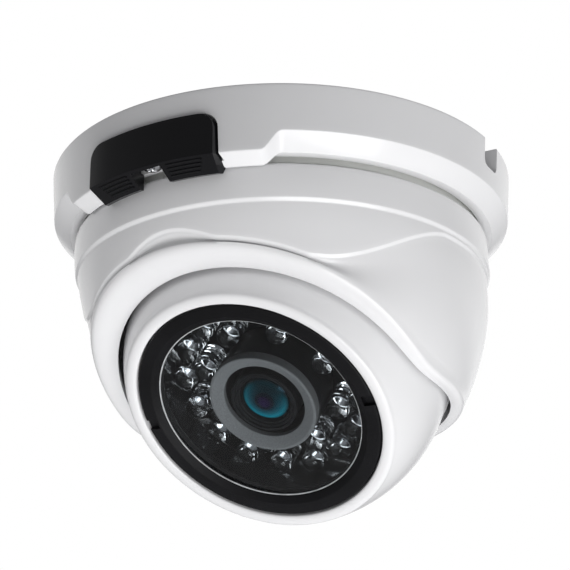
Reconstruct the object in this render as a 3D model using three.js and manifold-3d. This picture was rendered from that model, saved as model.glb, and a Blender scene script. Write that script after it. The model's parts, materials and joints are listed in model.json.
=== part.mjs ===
// Ceiling-mounted dome camera with a swivelling eyeball, in millimetres.
// Frame: origin at the centre of the ceiling face, +Z up into the ceiling, the camera hangs towards -Z,
// and its front (the lock latch, the arch of the collar and the rest direction of the lens) is -Y.
import * as THREE from "three";
import { mergeVertices } from "three/addons/utils/BufferGeometryUtils.js";
import Module from "manifold-3d";

const wasm = await Module();
wasm.setup();

// ---- driving dimensions -------------------------------------------------------------------------
// Running and assembly clearances
const CLEAR = 0.3; // between pieces that touch or are fastened together
const BALL_GAP = 1.0; // between the eyeball and the collar around it
const TURN_GAP = 0.4; // radial gap between the base and the turning dome
const NECK_GAP = 0.5; // radial gap between the ring's lip and the turntable's neck
const BAND_GAP = 1.2; // drop from the ring's lip to the top of the turning dome
const BAND_INSET = 0.9; // how far the dome stands inside the ring's lip

// Base ring
const SKIRT_DRAFT = 0.6; // how much the skirt narrows down to its lower edge
const SKIRT_HEIGHT = 9.5;
const RING_WALL = 3.1;
const CHAMFER_RUN = 3.4; // the chamfer under the skirt: inwards and down
const CHAMFER_DROP = 3.0;
const LIP_THICKNESS = 1.4;
const LIP_REACH = 2.0; // how far the lip reaches inwards past the chamfer
const BOSS_DROP = 3.9; // the skirt's edge on the front boss, below the edge elsewhere
const BOSS_FOOT_DROP = 2.4; // the boss's foot below the ring's lip
const BOSS_HALF_TOP = 25.4; // half width of the boss at the skirt's edge and at its lower edge
const BOSS_HALF_FOOT = 19.8;
const NOTCH_WIDTH = 6.0; // cable notch in the skirt, on the +X side
const NOTCH_HEIGHT = 5.8;
const NOTCH_ANGLE = 5; // degrees behind +X

// Mounting plate
const PLATE_THICKNESS = 2.4;
const CABLE_HOLE_RADIUS = 9;
const CABLE_HOLE_OFFSET = 14; // from the middle towards the cable notch
const PLATE_HOLE_INSET = 17; // the fixing holes' circle, inside the ring's outside
const PLATE_HOLE_RADIUS = 2.3;
const LEDGE_THICKNESS = 1.8;
const LEDGE_WIDTH = 2.4;
const HOOK_WALL = 1.5;
const HOOK_HALF_ANGLE = 13; // degrees

// Latch and its screw
const LATCH_HALF_WIDTH = 14.3;
const LATCH_TOP = 5.4; // below the ceiling face
const LATCH_PROUD = 0.8;
const LATCH_HANG = 1.4; // how far the latch hangs below the boss
const LATCH_SKIN = 0.7;
const POCKET_HALF_WIDTH = 3.4;
const LOCK_SHANK_RADIUS = 0.9;
const LOCK_HEAD_RADIUS = 1.8;
const LOCK_HEAD_HEIGHT = 1.3;

// Turning dome
const BAND_STEP = 0.45; // how far the band stands proud of the cover below it
const BAND_OVER_BALL = 8.6; // the band's radius over the ball's
const BALL_BELOW_BAND = 16.2; // from the band's lower edge to the ball's centre
const WAVE_DROP = 9.3; // the wavy step below the band dips on both sides of the front
const WAVE_ARCH = 6.8; // and rises over the arch of the collar
const WAVE_STEP = 0.4;
const COVER_WALL = 2.4;
const COVER_TAPER = 4.6; // how much the cover narrows from the band to the ball's centre
const TOP_FLANGE_THICKNESS = 2.0;
const TOP_FLANGE_WIDTH = 9.5;
const NECK_WALL = 1.9;
const FLANGE_THICKNESS = 1.6;
const GLIDE_THICKNESS = 0.8;
const CLAMP_INSET = 6.5; // three screws that clamp turntable, cover and socket ring, inside the band
const CLAMP_SHANK_RADIUS = 1.3;
const CLAMP_HEAD_RADIUS = 2.4;
const CLAMP_HEAD_HEIGHT = 1.4;

// Eyeball
const BALL_HEADROOM = 1.1; // between the mounting plate and the ball
const SETBACK = 2.5; // ball's centre behind the base's axis
const BALL_WALL = 2.0;
const LOOK_ANGLE = 37.4; // lens axis from straight down, towards the front, at rest
const FACE_HEIGHT = 18.0; // from the ball's centre to the face plane
const FACE_RIM = 2.85; // white edge around the face
const PARTING_HEIGHT = 4.0; // parting plane behind the ball's centre
const REAR_HEIGHT = 24.0; // flat back behind the ball's centre
const BUSH_RADIUS = 6.0;
const CORD_HOLE_RADIUS = 1.8;

// Collar opening
const OPENING_TILT = 33; // degrees, axis of the tilted opening from straight down
const OPENING_HALF = 70; // degrees, half angle of the tilted opening
const REAR_RIM = 18; // degrees below the ball's equator, at the sides and back
const SILL_RISE = 2.0; // outer edge of the collar's lip above its inner edge
const PAD_LOW = 24; // degrees above the ball's equator, the rubber pad that presses on the ball
const PAD_HIGH = 30;
const PAD_THICKNESS = 1.0;

// Face
const BEZEL_WIDTH = 2.8;
const BEZEL_LIP = 1.35; // sloping inner wall of the bezel
const BEZEL_LIP_DEPTH = 1.0;
const SLOT_WIDTH = 2.2;
const SLOT_DEPTH = 0.9;
const SLOT_ANGLE = -5.5; // degrees
const GLASS_THICKNESS = 1.2;
const GLASS_GAP = 0.5; // around the glass, inside the bezel
const GASKET_HEIGHT = 0.7;
const GASKET_WIDTH = 0.7;
const SHOULDER_THICKNESS = 1.7;
const SHOULDER_WIDTH = 1.8;
const HOUSING_FLOOR = 1.6;

// Lamps
const OUTER_LAMPS = 16;
const INNER_LAMPS = 8;
const LAMP_PHASE = 1.9; // degrees
const LAMP_RADIUS = 2.35;
const LAMP_RIM = 0.15;
const LAMP_LENGTH = 7.7;
const LAMP_TIP_DEPTH = 6.1; // lamp tips behind the face plane
const LAMP_BOARD_THICKNESS = 1.6;

// Lens and image sensor
const SHIELD_GAP = 1.5; // between the lens and the shield around it
const SHIELD_WALL = 2.7;
const LENS_HEAD_RADIUS = 6.9;
const LENS_HEAD_LENGTH = 7;
const LENS_THREAD_RADIUS = 6.0;
const LENS_THREAD_LENGTH = 8.6;
const LENS_DEPTH = 3.5; // front of the lens behind the face plane
const FRONT_ELEMENT_RADIUS = 4.8;
const FRONT_ELEMENT_CROWN = 1.2;
const HOLDER_WALL = 1.5;
const HOLDER_SIZE = 17;
const BOARD_SIZE = 34;
const BOARD_THICKNESS = 1.6;
const BOARD_GAP = 6; // between the sensor board and the main board
const STANDOFF_SIZE = 4;
const SHELL_SCREW_INSET = 3.9; // inside the ball's inner wall
const SHELL_SCREW_RADIUS = 1.2;
const SHELL_HEAD_RADIUS = 2.3;
const SHELL_HEAD_HEIGHT = 1.6;
const SHELL_BOSS_RADIUS = 3.5;

// Facets around
const FINE = 60;
const MEDIUM = 40;
const SMALL = 12;
const TINY = 8;

// ---- derived sizes ------------------------------------------------------------------------------
const rad = THREE.MathUtils.degToRad;

// Across the face, from the lens outwards: shield, two circles of lamps, glass, bezel, ball, ring
const shieldBore = LENS_HEAD_RADIUS + SHIELD_GAP;
const shieldRadius = shieldBore + SHIELD_WALL;
const lampFoot = LAMP_RADIUS + LAMP_RIM;
const innerLampCircle = shieldRadius + CLEAR + lampFoot + 0.1;
const lampStep = rad(180 / OUTER_LAMPS);
const lampPitch = 2 * lampFoot + CLEAR + 0.03;
const lampOffset = innerLampCircle * Math.sin(lampStep);
const outerLampCircle = innerLampCircle * Math.cos(lampStep) + Math.sqrt(lampPitch ** 2 - lampOffset ** 2);
const housingInner = outerLampCircle + lampFoot + CLEAR;
const glassRadius = housingInner + GASKET_WIDTH;
const bezelInner = glassRadius + GLASS_GAP;
const bezelRadius = bezelInner + BEZEL_WIDTH;
const glassSight = bezelInner - BEZEL_LIP;
const faceOpening = bezelRadius + CLEAR;
const ballRadius = Math.hypot(FACE_HEIGHT, faceOpening + FACE_RIM);
const bandRadius = ballRadius + BAND_OVER_BALL;
const lipRadius = bandRadius + BAND_INSET;
const skirtFoot = lipRadius + CHAMFER_RUN;
const ringRadius = skirtFoot + SKIRT_DRAFT;
const ringBore = skirtFoot - RING_WALL;
const neckRadius = lipRadius - LIP_REACH - NECK_GAP;
const topFlangeInner = bandRadius - TOP_FLANGE_WIDTH;
const clampCircle = bandRadius - CLAMP_INSET;
const socketRadius = ballRadius + BALL_GAP;
const bossInner = bandRadius + TURN_GAP;

// Down from the ceiling face
const lipFoot = -(SKIRT_HEIGHT + CHAMFER_DROP);
const lipTop = lipFoot + LIP_THICKNESS;
const bandTop = lipFoot - BAND_GAP;
const ballZ = -(PLATE_THICKNESS + BALL_HEADROOM + ballRadius);
const bandFoot = ballZ + BALL_BELOW_BAND;
const glideFoot = lipTop + CLEAR;
const flangeFoot = glideFoot + GLIDE_THICKNESS + CLEAR;
const flangeTop = flangeFoot + FLANGE_THICKNESS;

// Along the lens axis, from the ball's centre
const glassFront = FACE_HEIGHT - BEZEL_LIP_DEPTH - CLEAR;
const glassBack = glassFront - GLASS_THICKNESS;
const gasketBack = glassBack - CLEAR - GASKET_HEIGHT;
const shoulderFront = gasketBack - CLEAR;
const shoulderInner = faceOpening - SHOULDER_WIDTH;
const housingOuter = shoulderInner - CLEAR;
const lampBack = FACE_HEIGHT - LAMP_TIP_DEPTH - LAMP_LENGTH;
const lampBoardFront = lampBack - CLEAR;
const lampBoardBack = lampBoardFront - LAMP_BOARD_THICKNESS;
const housingBack = lampBoardBack - CLEAR - HOUSING_FLOOR;
const lensFront = FACE_HEIGHT - LENS_DEPTH;
const lensShoulder = lensFront - LENS_HEAD_LENGTH;
const lensBack = lensShoulder - LENS_THREAD_LENGTH;
const sensorBoardFront = lensBack - 2.6;
const mainBoardFront = sensorBoardFront - BOARD_THICKNESS - BOARD_GAP;

// ---- geometry helpers ---------------------------------------------------------------------------
function solid(geometry) {
  const bare = geometry.index ? geometry.toNonIndexed() : geometry.clone();
  bare.deleteAttribute("normal");
  bare.deleteAttribute("uv");
  const merged = mergeVertices(bare, 1e-4);
  const mesh = new wasm.Mesh({
    numProp: 3,
    vertProperties: new Float32Array(merged.attributes.position.array),
    triVerts: new Uint32Array(merged.index.array),
  });
  return new wasm.Manifold(mesh);
}

function geometryOf(body) {
  const mesh = body.getMesh();
  const geometry = new THREE.BufferGeometry();
  geometry.setAttribute("position", new THREE.BufferAttribute(Float32Array.from(mesh.vertProperties), 3));
  geometry.setIndex(new THREE.BufferAttribute(Uint32Array.from(mesh.triVerts), 1));
  geometry.computeVertexNormals();
  return geometry;
}

// A turned body about Z. The profile is a list of [radius, z], closed on itself or ending on the axis.
function turned(profile, facets) {
  const onAxis = profile[0][0] === 0 && profile[profile.length - 1][0] === 0;
  const ring = onAxis ? profile : [...profile, profile[0]];
  let area = 0;
  for (let i = 0; i < profile.length; i += 1) {
    const [r0, z0] = profile[i];
    const [r1, z1] = profile[(i + 1) % profile.length];
    area += r0 * z1 - r1 * z0;
  }
  const ordered = area > 0 ? ring : [...ring].reverse();
  const points = ordered.map(([r, z]) => new THREE.Vector2(r, z));
  const lathe = new THREE.LatheGeometry(points, facets);
  lathe.rotateX(Math.PI / 2);
  return solid(lathe);
}

function moved(geometry, x, y, z) {
  return geometry.translate(x, y, z);
}

// A bar along Z between two heights, round or with few facets.
function rod(radius, low, high, x = 0, y = 0, facets = SMALL) {
  const bar = new THREE.CylinderGeometry(radius, radius, high - low, facets);
  bar.rotateX(Math.PI / 2);
  return solid(moved(bar, x, y, (low + high) / 2));
}

// A box given by its lowest and highest corners.
function block(low, high) {
  const size = high.map((value, i) => value - low[i]);
  const box = new THREE.BoxGeometry(size[0], size[1], size[2]);
  return solid(moved(box, (low[0] + high[0]) / 2, (low[1] + high[1]) / 2, (low[2] + high[2]) / 2));
}

// A flat outline in X and Z, pushed along Y from one value to another.
function plateAlongY(outline, from, to) {
  const shape = new THREE.Shape(outline.map(([x, z]) => new THREE.Vector2(x, z)));
  const slab = new THREE.ExtrudeGeometry(shape, { depth: to - from, bevelEnabled: false });
  slab.rotateX(Math.PI / 2);
  return solid(moved(slab, 0, to, 0));
}

function tube(inner, outer, low, high, facets = MEDIUM) {
  return turned([[inner, low], [outer, low], [outer, high], [inner, high]], facets);
}

function arc(radius, fromAngle, toAngle, steps) {
  const points = [];
  for (let i = 0; i <= steps; i += 1) {
    const angle = rad(fromAngle + ((toAngle - fromAngle) * i) / steps);
    points.push([radius * Math.sin(angle), radius * Math.cos(angle)]);
  }
  return points;
}

function smoothstep(from, to, value) {
  const t = Math.min(1, Math.max(0, (value - from) / (to - from)));
  return t * t * (3 - 2 * t);
}

const turnZ = (body, degrees) => body.rotate([0, 0, degrees]);
const around = (count, phase = 0) => Array.from({ length: count }, (_, i) => phase + (360 * i) / count);

const materials = {
  whiteShell: [0xf1f2f3, 0.25, 0],
  blackGloss: [0x101113, 0.2, 0],
  blackSatin: [0x1d1e20, 0.5, 0],
  blackRubber: [0x17181a, 0.8, 0],
  glass: [0xdfe6ea, 0.05, 0],
  clearEpoxy: [0xe8eef2, 0.08, 0],
  greyFoam: [0x707274, 0.9, 0],
  lensCoating: [0x14506a, 0.05, 0],
  steel: [0xb9bcc0, 0.35, 1],
  board: [0x0f4a2c, 0.5, 0],
  chip: [0x202226, 0.4, 0],
  glide: [0xdadcd8, 0.5, 0],
};

const camera = new THREE.Group();
const eyeball = new THREE.Group();
eyeball.position.set(0, SETBACK, ballZ);
eyeball.rotation.x = Math.PI - rad(LOOK_ANGLE);
camera.add(eyeball);

function add(group, name, body, finish) {
  const [color, roughness, metalness] = materials[finish];
  const material = new THREE.MeshStandardMaterial({ color, roughness, metalness });
  const mesh = new THREE.Mesh(geometryOf(body), material);
  mesh.name = name;
  group.add(mesh);
}

// ---- base: ring, mounting plate, latch ----------------------------------------------------------
const bossEdge = -(SKIRT_HEIGHT + BOSS_DROP);
const bossFoot = lipFoot - BOSS_FOOT_DROP;
const windowTop = -(LATCH_TOP - CLEAR);
const latchOuter = ringRadius - SKIRT_DRAFT / 2 + LATCH_PROUD;
const lockRadius = latchOuter - LATCH_SKIN - CLEAR - LOCK_HEAD_RADIUS;
const ledgeTop = -(PLATE_THICKNESS + CLEAR);
const ledgeFoot = ledgeTop - LEDGE_THICKNESS;
const plateRadius = ringBore - LEDGE_WIDTH - CLEAR;

function baseRing() {
  let ring = turned(
    [
      [ringRadius, 0],
      [skirtFoot, -SKIRT_HEIGHT],
      [lipRadius, lipFoot],
      [neckRadius + NECK_GAP, lipFoot],
      [neckRadius + NECK_GAP, lipTop],
      [ringBore, lipTop],
      [ringBore, ledgeFoot],
      [ringBore - LEDGE_WIDTH, ledgeFoot],
      [ringBore - LEDGE_WIDTH, ledgeTop],
      [ringBore, ledgeTop],
      [ringBore, 0],
    ],
    FINE,
  );
  const bossBody = turned(
    [
      [skirtFoot - 1, 1 - SKIRT_HEIGHT],
      [skirtFoot, -SKIRT_HEIGHT],
      [skirtFoot - 0.2, bossEdge],
      [lipRadius, bossFoot],
      [bossInner, bossFoot],
      [bossInner, lipFoot + 0.7],
      [ringBore + 0.5, lipFoot + 0.7],
      [ringBore + 0.5, 1 - SKIRT_HEIGHT],
    ],
    FINE,
  );
  const bossOutline = [
    [-BOSS_HALF_TOP, 2 - SKIRT_HEIGHT],
    [-BOSS_HALF_TOP, -SKIRT_HEIGHT],
    [-BOSS_HALF_FOOT, bossFoot - 1],
    [BOSS_HALF_FOOT, bossFoot - 1],
    [BOSS_HALF_TOP, -SKIRT_HEIGHT],
    [BOSS_HALF_TOP, 2 - SKIRT_HEIGHT],
  ];
  ring = ring.add(bossBody.intersect(plateAlongY(bossOutline, -2 * ringRadius, 0)));
  const latchSpace = [
    [-(LATCH_HALF_WIDTH + CLEAR), windowTop],
    [-(LATCH_HALF_WIDTH + CLEAR), bossFoot - 1],
    [LATCH_HALF_WIDTH + CLEAR, bossFoot - 1],
    [LATCH_HALF_WIDTH + CLEAR, windowTop],
  ];
  const lipBridge = tube(ringBore - 1, 2 * ringRadius, bossFoot - 2, 1, FINE);
  const window = plateAlongY(latchSpace, -2 * ringRadius, -ringRadius / 2);
  ring = ring.subtract(window.intersect(lipBridge));
  const lockHole = rod(LOCK_SHANK_RADIUS + CLEAR, windowTop - 2, -1.2, 0, -lockRadius, TINY);
  ring = ring.subtract(lockHole);
  const notch = block(
    [ringBore - LEDGE_WIDTH - 1, -NOTCH_WIDTH / 2, -NOTCH_HEIGHT],
    [ringRadius + 1, NOTCH_WIDTH / 2, 1],
  );
  return ring.subtract(turnZ(notch, NOTCH_ANGLE));
}

function mountingPlate() {
  const hookFoot = ledgeFoot - CLEAR - HOOK_WALL;
  let plate = turned(
    [
      [0, -PLATE_THICKNESS],
      [plateRadius, -PLATE_THICKNESS],
      [plateRadius, 0],
      [0, 0],
    ],
    MEDIUM,
  );
  const hookRing = turned(
    [
      [plateRadius, -PLATE_THICKNESS / 2],
      [plateRadius, ledgeFoot - CLEAR],
      [plateRadius + LEDGE_WIDTH, ledgeFoot - CLEAR],
      [plateRadius + LEDGE_WIDTH, hookFoot],
      [plateRadius - HOOK_WALL, hookFoot],
      [plateRadius - HOOK_WALL, -PLATE_THICKNESS / 2],
    ],
    MEDIUM,
  );
  const reach = 2 * ringRadius;
  const side = reach * Math.tan(rad(HOOK_HALF_ANGLE));
  for (const angle of around(3, 90)) {
    const wedgeShape = new THREE.Shape([
      new THREE.Vector2(0, 0),
      new THREE.Vector2(reach, -side),
      new THREE.Vector2(reach, side),
    ]);
    const wedge = new THREE.ExtrudeGeometry(wedgeShape, { depth: reach, bevelEnabled: false });
    plate = plate.add(hookRing.intersect(turnZ(solid(moved(wedge, 0, 0, -reach)), angle)));
  }
  for (const angle of around(3, 30)) {
    const x = (ringRadius - PLATE_HOLE_INSET) * Math.cos(rad(angle));
    const y = (ringRadius - PLATE_HOLE_INSET) * Math.sin(rad(angle));
    plate = plate.subtract(rod(PLATE_HOLE_RADIUS, -2 * PLATE_THICKNESS, 1, x, y));
  }
  const groove = block([CABLE_HOLE_OFFSET, -NOTCH_WIDTH / 2, -2 * PLATE_THICKNESS], [ringRadius, NOTCH_WIDTH / 2, 1]);
  const cableHole = rod(CABLE_HOLE_RADIUS, -2 * PLATE_THICKNESS, 1, CABLE_HOLE_OFFSET, 0, 24);
  return plate.subtract(turnZ(groove.add(cableHole), NOTCH_ANGLE));
}

const latchInner = ringBore + CLEAR;
const latchFoot = bossFoot - LATCH_HANG;
const pocketRoof = bossEdge + 1.4;

function latchCover() {
  const body = turned(
    [
      [latchOuter, -LATCH_TOP],
      [latchOuter, bossEdge - 0.6],
      [lipRadius + 0.6, latchFoot],
      [bossInner, latchFoot + 0.3],
      [bossInner, lipFoot - CLEAR],
      [latchInner, lipFoot - CLEAR],
      [latchInner, -LATCH_TOP],
    ],
    FINE,
  );
  const corner = 2.4;
  const top = -LATCH_TOP + 0.5;
  const outline = [
    [-LATCH_HALF_WIDTH, latchFoot - 1],
    [LATCH_HALF_WIDTH, latchFoot - 1],
    [LATCH_HALF_WIDTH, top - corner],
    [LATCH_HALF_WIDTH - corner * 0.3, top - corner * 0.3],
    [LATCH_HALF_WIDTH - corner, top],
    [corner - LATCH_HALF_WIDTH, top],
    [corner * 0.3 - LATCH_HALF_WIDTH, top - corner * 0.3],
    [-LATCH_HALF_WIDTH, top - corner],
  ];
  let latch = body.intersect(plateAlongY(outline, -2 * ringRadius, -ringRadius / 2));
  const pocket = block(
    [-POCKET_HALF_WIDTH, LATCH_SKIN - latchOuter, latchFoot - 1],
    [POCKET_HALF_WIDTH, -ringRadius / 2, pocketRoof],
  );
  const slotHalf = LOCK_SHANK_RADIUS + CLEAR;
  const slot = block(
    [-slotHalf, -(lockRadius + slotHalf), pocketRoof - 1],
    [slotHalf, -ringRadius / 2, 1 - LATCH_TOP],
  );
  latch = latch.subtract(pocket);
  return latch.subtract(slot);
}

// A screw along Z with its head at the low end and a cross recess in the head.
function hangingScrew(shankRadius, headRadius, headHeight, headTop, tip, x, y) {
  const head = rod(headRadius, headTop - headHeight, headTop, x, y, SMALL);
  const shank = rod(shankRadius, headTop - 0.2, tip, x, y, TINY);
  const low = headTop - headHeight;
  const long = headRadius * 0.62;
  const thin = headRadius * 0.13;
  const recess = headHeight * 0.55;
  const slotA = block([x - long, y - thin, low - 1], [x + long, y + thin, low + recess]);
  const slotB = block([x - thin, y - long, low - 1], [x + thin, y + long, low + recess]);
  return head.add(shank).subtract(slotA).subtract(slotB);
}

add(camera, "mounting_plate", mountingPlate(), "steel");
add(camera, "base_ring", baseRing(), "whiteShell");
add(camera, "latch_cover", latchCover(), "blackGloss");
const lockScrew = hangingScrew(
  LOCK_SHANK_RADIUS,
  LOCK_HEAD_RADIUS,
  LOCK_HEAD_HEIGHT,
  pocketRoof - CLEAR,
  -1.5,
  0,
  -lockRadius,
);
add(camera, "lock_screw", lockScrew, "steel");

// ---- turning dome: glide ring, turntable, cover, socket ring, pad, clamp screws ------------------
const turntableFoot = bandTop + CLEAR;
const turntableInner = topFlangeInner + CLEAR;
const clampSeat = turntableFoot + FLANGE_THICKNESS;

function clampPoints() {
  return around(3, 90).map((angle) => [clampCircle * Math.cos(rad(angle)), clampCircle * Math.sin(rad(angle))]);
}

function glideRing() {
  return turned(
    [
      [neckRadius + NECK_GAP, glideFoot],
      [ringBore - CLEAR, glideFoot],
      [ringBore - CLEAR, glideFoot + GLIDE_THICKNESS],
      [neckRadius + NECK_GAP, glideFoot + GLIDE_THICKNESS],
    ],
    MEDIUM,
  );
}

function turntable() {
  let table = turned(
    [
      [turntableInner, turntableFoot],
      [neckRadius, turntableFoot],
      [neckRadius, flangeFoot],
      [ringBore - CLEAR, flangeFoot],
      [ringBore - CLEAR, flangeTop],
      [neckRadius - NECK_WALL, flangeTop],
      [neckRadius - NECK_WALL, clampSeat],
      [turntableInner, clampSeat],
    ],
    MEDIUM,
  );
  for (const [x, y] of clampPoints()) {
    table = table.subtract(rod(CLAMP_SHANK_RADIUS + CLEAR, turntableFoot - 1, clampSeat + 1, x, y, TINY));
  }
  return table;
}

// The cover's axis moves back from the base's axis to the ball's centre as it goes down.
function axisShift(z) {
  return SETBACK * smoothstep(bandTop - 2, bandTop - 18, z);
}

// Outer radius of the cover below its band.
function coverRadius(z) {
  const below = Math.max(0, bandFoot - z) / (bandFoot - ballZ);
  return bandRadius - BAND_STEP * smoothstep(bandFoot + 0.2, bandFoot - 1, z) - COVER_TAPER * 0.55 * below * below;
}

// Height of the wavy step at an azimuth from the front.
function waveHeight(azimuth) {
  const dip = WAVE_DROP * smoothstep(rad(85), rad(42), Math.abs(azimuth));
  return bandFoot - 1 - dip + WAVE_ARCH * Math.exp(-((azimuth / rad(20)) ** 2));
}

// Elevation of the collar's rim on the socket sphere: the higher of a tilted circle and a level one.
function rimElevation(azimuth) {
  const across = Math.sin(rad(OPENING_TILT)) * Math.cos(azimuth);
  const up = Math.cos(rad(OPENING_TILT));
  const size = Math.hypot(across, up);
  const ratio = Math.cos(rad(OPENING_HALF)) / size;
  const tilted = Math.acos(Math.min(1, ratio)) - Math.atan2(up, across);
  const soften = rad(3);
  const level = -rad(REAR_RIM);
  return level + soften * Math.log(1 + Math.exp((tilted - level) / soften));
}

function coverProfile(azimuth) {
  const rim = rimElevation(azimuth);
  const rimR = socketRadius * Math.cos(rim);
  const rimZ = ballZ + socketRadius * Math.sin(rim);
  const frontness = smoothstep(-0.26, 0.28, rim);
  const edgeZ = rimZ + 0.8 + (SILL_RISE - 0.8) * frontness;
  const edgeR = coverRadius(edgeZ);
  const points = [
    [topFlangeInner, bandTop],
    [bandRadius - 0.5, bandTop],
    [bandRadius, bandTop - 0.6],
    [bandRadius, bandFoot + 0.4],
    [bandRadius - BAND_STEP, bandFoot - 0.8],
  ];
  const wave = Math.max(waveHeight(azimuth), edgeZ + 1);
  points.push([coverRadius(wave), wave]);
  const wallTop = wave - 0.5;
  const wallSteps = 3;
  for (let i = 0; i <= wallSteps; i += 1) {
    const z = wallTop + ((edgeZ - wallTop) * i) / wallSteps;
    points.push([coverRadius(z) - WAVE_STEP * (1 - i / wallSteps), z]);
  }
  const lipSteps = 4;
  const bend = [edgeR - 0.3, rimZ - 0.9];
  for (let i = 1; i <= lipSteps; i += 1) {
    const t = i / lipSteps;
    const keep = (1 - t) * (1 - t);
    const pull = 2 * t * (1 - t);
    points.push([keep * edgeR + pull * bend[0] + t * t * rimR, keep * edgeZ + pull * bend[1] + t * t * rimZ]);
  }
  for (const rise of [3, 5]) {
    const elevation = rim + rad(rise);
    points.push([socketRadius * Math.cos(elevation), ballZ + socketRadius * Math.sin(elevation)]);
  }
  const innerFoot = Math.min(bandFoot - 1, ballZ + socketRadius * Math.sin(rim + rad(5)) + 3);
  points.push([coverRadius(innerFoot) - COVER_WALL, innerFoot]);
  points.push([bandRadius - COVER_WALL, bandFoot + 1]);
  points.push([bandRadius - COVER_WALL, bandTop - TOP_FLANGE_THICKNESS]);
  points.push([topFlangeInner, bandTop - TOP_FLANGE_THICKNESS]);
  return points;
}

// A closed ring whose profile changes with the azimuth, measured from the front (-Y) towards +X.
function sweptRing(profileAt, facets) {
  const count = profileAt(0).length;
  const positions = [];
  for (let i = 0; i < facets; i += 1) {
    const azimuth = (2 * Math.PI * i) / facets;
    for (const [r, z] of profileAt(azimuth > Math.PI ? azimuth - 2 * Math.PI : azimuth)) {
      positions.push(r * Math.sin(azimuth), axisShift(z) - r * Math.cos(azimuth), z);
    }
  }
  const index = [];
  for (let i = 0; i < facets; i += 1) {
    const next = (i + 1) % facets;
    for (let k = 0; k < count; k += 1) {
      const a = i * count + k;
      const b = next * count + k;
      const c = next * count + ((k + 1) % count);
      const d = i * count + ((k + 1) % count);
      index.push(a, c, b, a, d, c);
    }
  }
  const geometry = new THREE.BufferGeometry();
  geometry.setAttribute("position", new THREE.BufferAttribute(new Float32Array(positions), 3));
  geometry.setIndex(index);
  return solid(geometry);
}

function domeCover() {
  let cover = sweptRing(coverProfile, FINE);
  for (const [x, y] of clampPoints()) {
    cover = cover.subtract(rod(CLAMP_SHANK_RADIUS + CLEAR, bandTop - TOP_FLANGE_THICKNESS - 1, 0, x, y, TINY));
  }
  return cover;
}

// The socket ring presses on the ball from above, through a rubber pad.
const padInner = ballRadius + CLEAR;
const padOuter = padInner + PAD_THICKNESS;
const socketInner = padOuter + CLEAR;
const SEAT_STEPS = 3;
const SEAT_MARGIN = 2; // degrees
const postTop = bandTop - TOP_FLANGE_THICKNESS - CLEAR;
const seatTop = ballZ + socketInner * Math.sin(rad(PAD_HIGH + SEAT_MARGIN));
const socketTop = Math.min(seatTop + 0.8, postTop - CLEAR);
const postFoot = socketTop - 2.9;
const socketOuter = clampCircle - SETBACK / 2 + 1.2;

function seatArc(radius, low, high, steps) {
  return arc(radius, 90 - low, 90 - high, steps).map(([r, z]) => [r, z + ballZ]);
}

function socketRing() {
  const seat = seatArc(socketInner, PAD_LOW - SEAT_MARGIN, PAD_HIGH + SEAT_MARGIN, SEAT_STEPS);
  const low = seat[0];
  let ring = turned([...seat, [seat[SEAT_STEPS][0], socketTop], [socketOuter, socketTop], [socketOuter, low[1]]], MEDIUM);
  ring = ring.translate([0, SETBACK, 0]);
  for (const [x, y] of clampPoints()) {
    const post = rod(3.0, postFoot, postTop, x, y, SMALL);
    ring = ring.add(post);
  }
  const clearBall = turned([[0, low[1]], ...seat, [0, seat[SEAT_STEPS][1]]], MEDIUM).translate([0, SETBACK, 0]);
  ring = ring.subtract(clearBall);
  for (const [x, y] of clampPoints()) {
    ring = ring.subtract(rod(CLAMP_SHANK_RADIUS + CLEAR, postFoot + 0.6, postTop + 1, x, y, TINY));
  }
  return ring;
}

function socketPad() {
  const inner = seatArc(padInner, PAD_LOW, PAD_HIGH, 2);
  const outer = seatArc(padOuter, PAD_LOW, PAD_HIGH, 2).reverse();
  return turned([...inner, ...outer], MEDIUM).translate([0, SETBACK, 0]);
}

// A screw along Z with its head at the high end.
function standingScrew(shankRadius, headRadius, headHeight, headFoot, tip, x, y) {
  return hangingScrew(shankRadius, headRadius, headHeight, -headFoot, -tip, x, -y).rotate([180, 0, 0]);
}

add(camera, "glide_ring", glideRing(), "glide");
add(camera, "turntable", turntable(), "glide");
add(camera, "dome_cover", domeCover(), "whiteShell");
add(camera, "socket_ring", socketRing(), "blackSatin");
add(camera, "socket_pad", socketPad(), "blackRubber");
clampPoints().forEach(([x, y], i) => {
  const screw = standingScrew(
    CLAMP_SHANK_RADIUS,
    CLAMP_HEAD_RADIUS,
    CLAMP_HEAD_HEIGHT,
    clampSeat + CLEAR,
    postFoot + 1,
    x,
    y,
  );
  add(camera, `clamp_screw_${i + 1}`, screw, "steel");
});

// ---- eyeball, in its own frame: +Z along the lens axis, origin at the ball's centre ---------------
const shellInner = ballRadius - BALL_WALL;
const onCircle = (radius, angle) => [radius * Math.cos(rad(angle)), radius * Math.sin(rad(angle))];
const screwCircle = shellInner - SHELL_SCREW_INSET;
const screwSpots = around(3, 90).map((angle) => onCircle(screwCircle, angle));
const angleAt = (radius, z) => THREE.MathUtils.radToDeg(Math.acos(z / radius));

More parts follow.
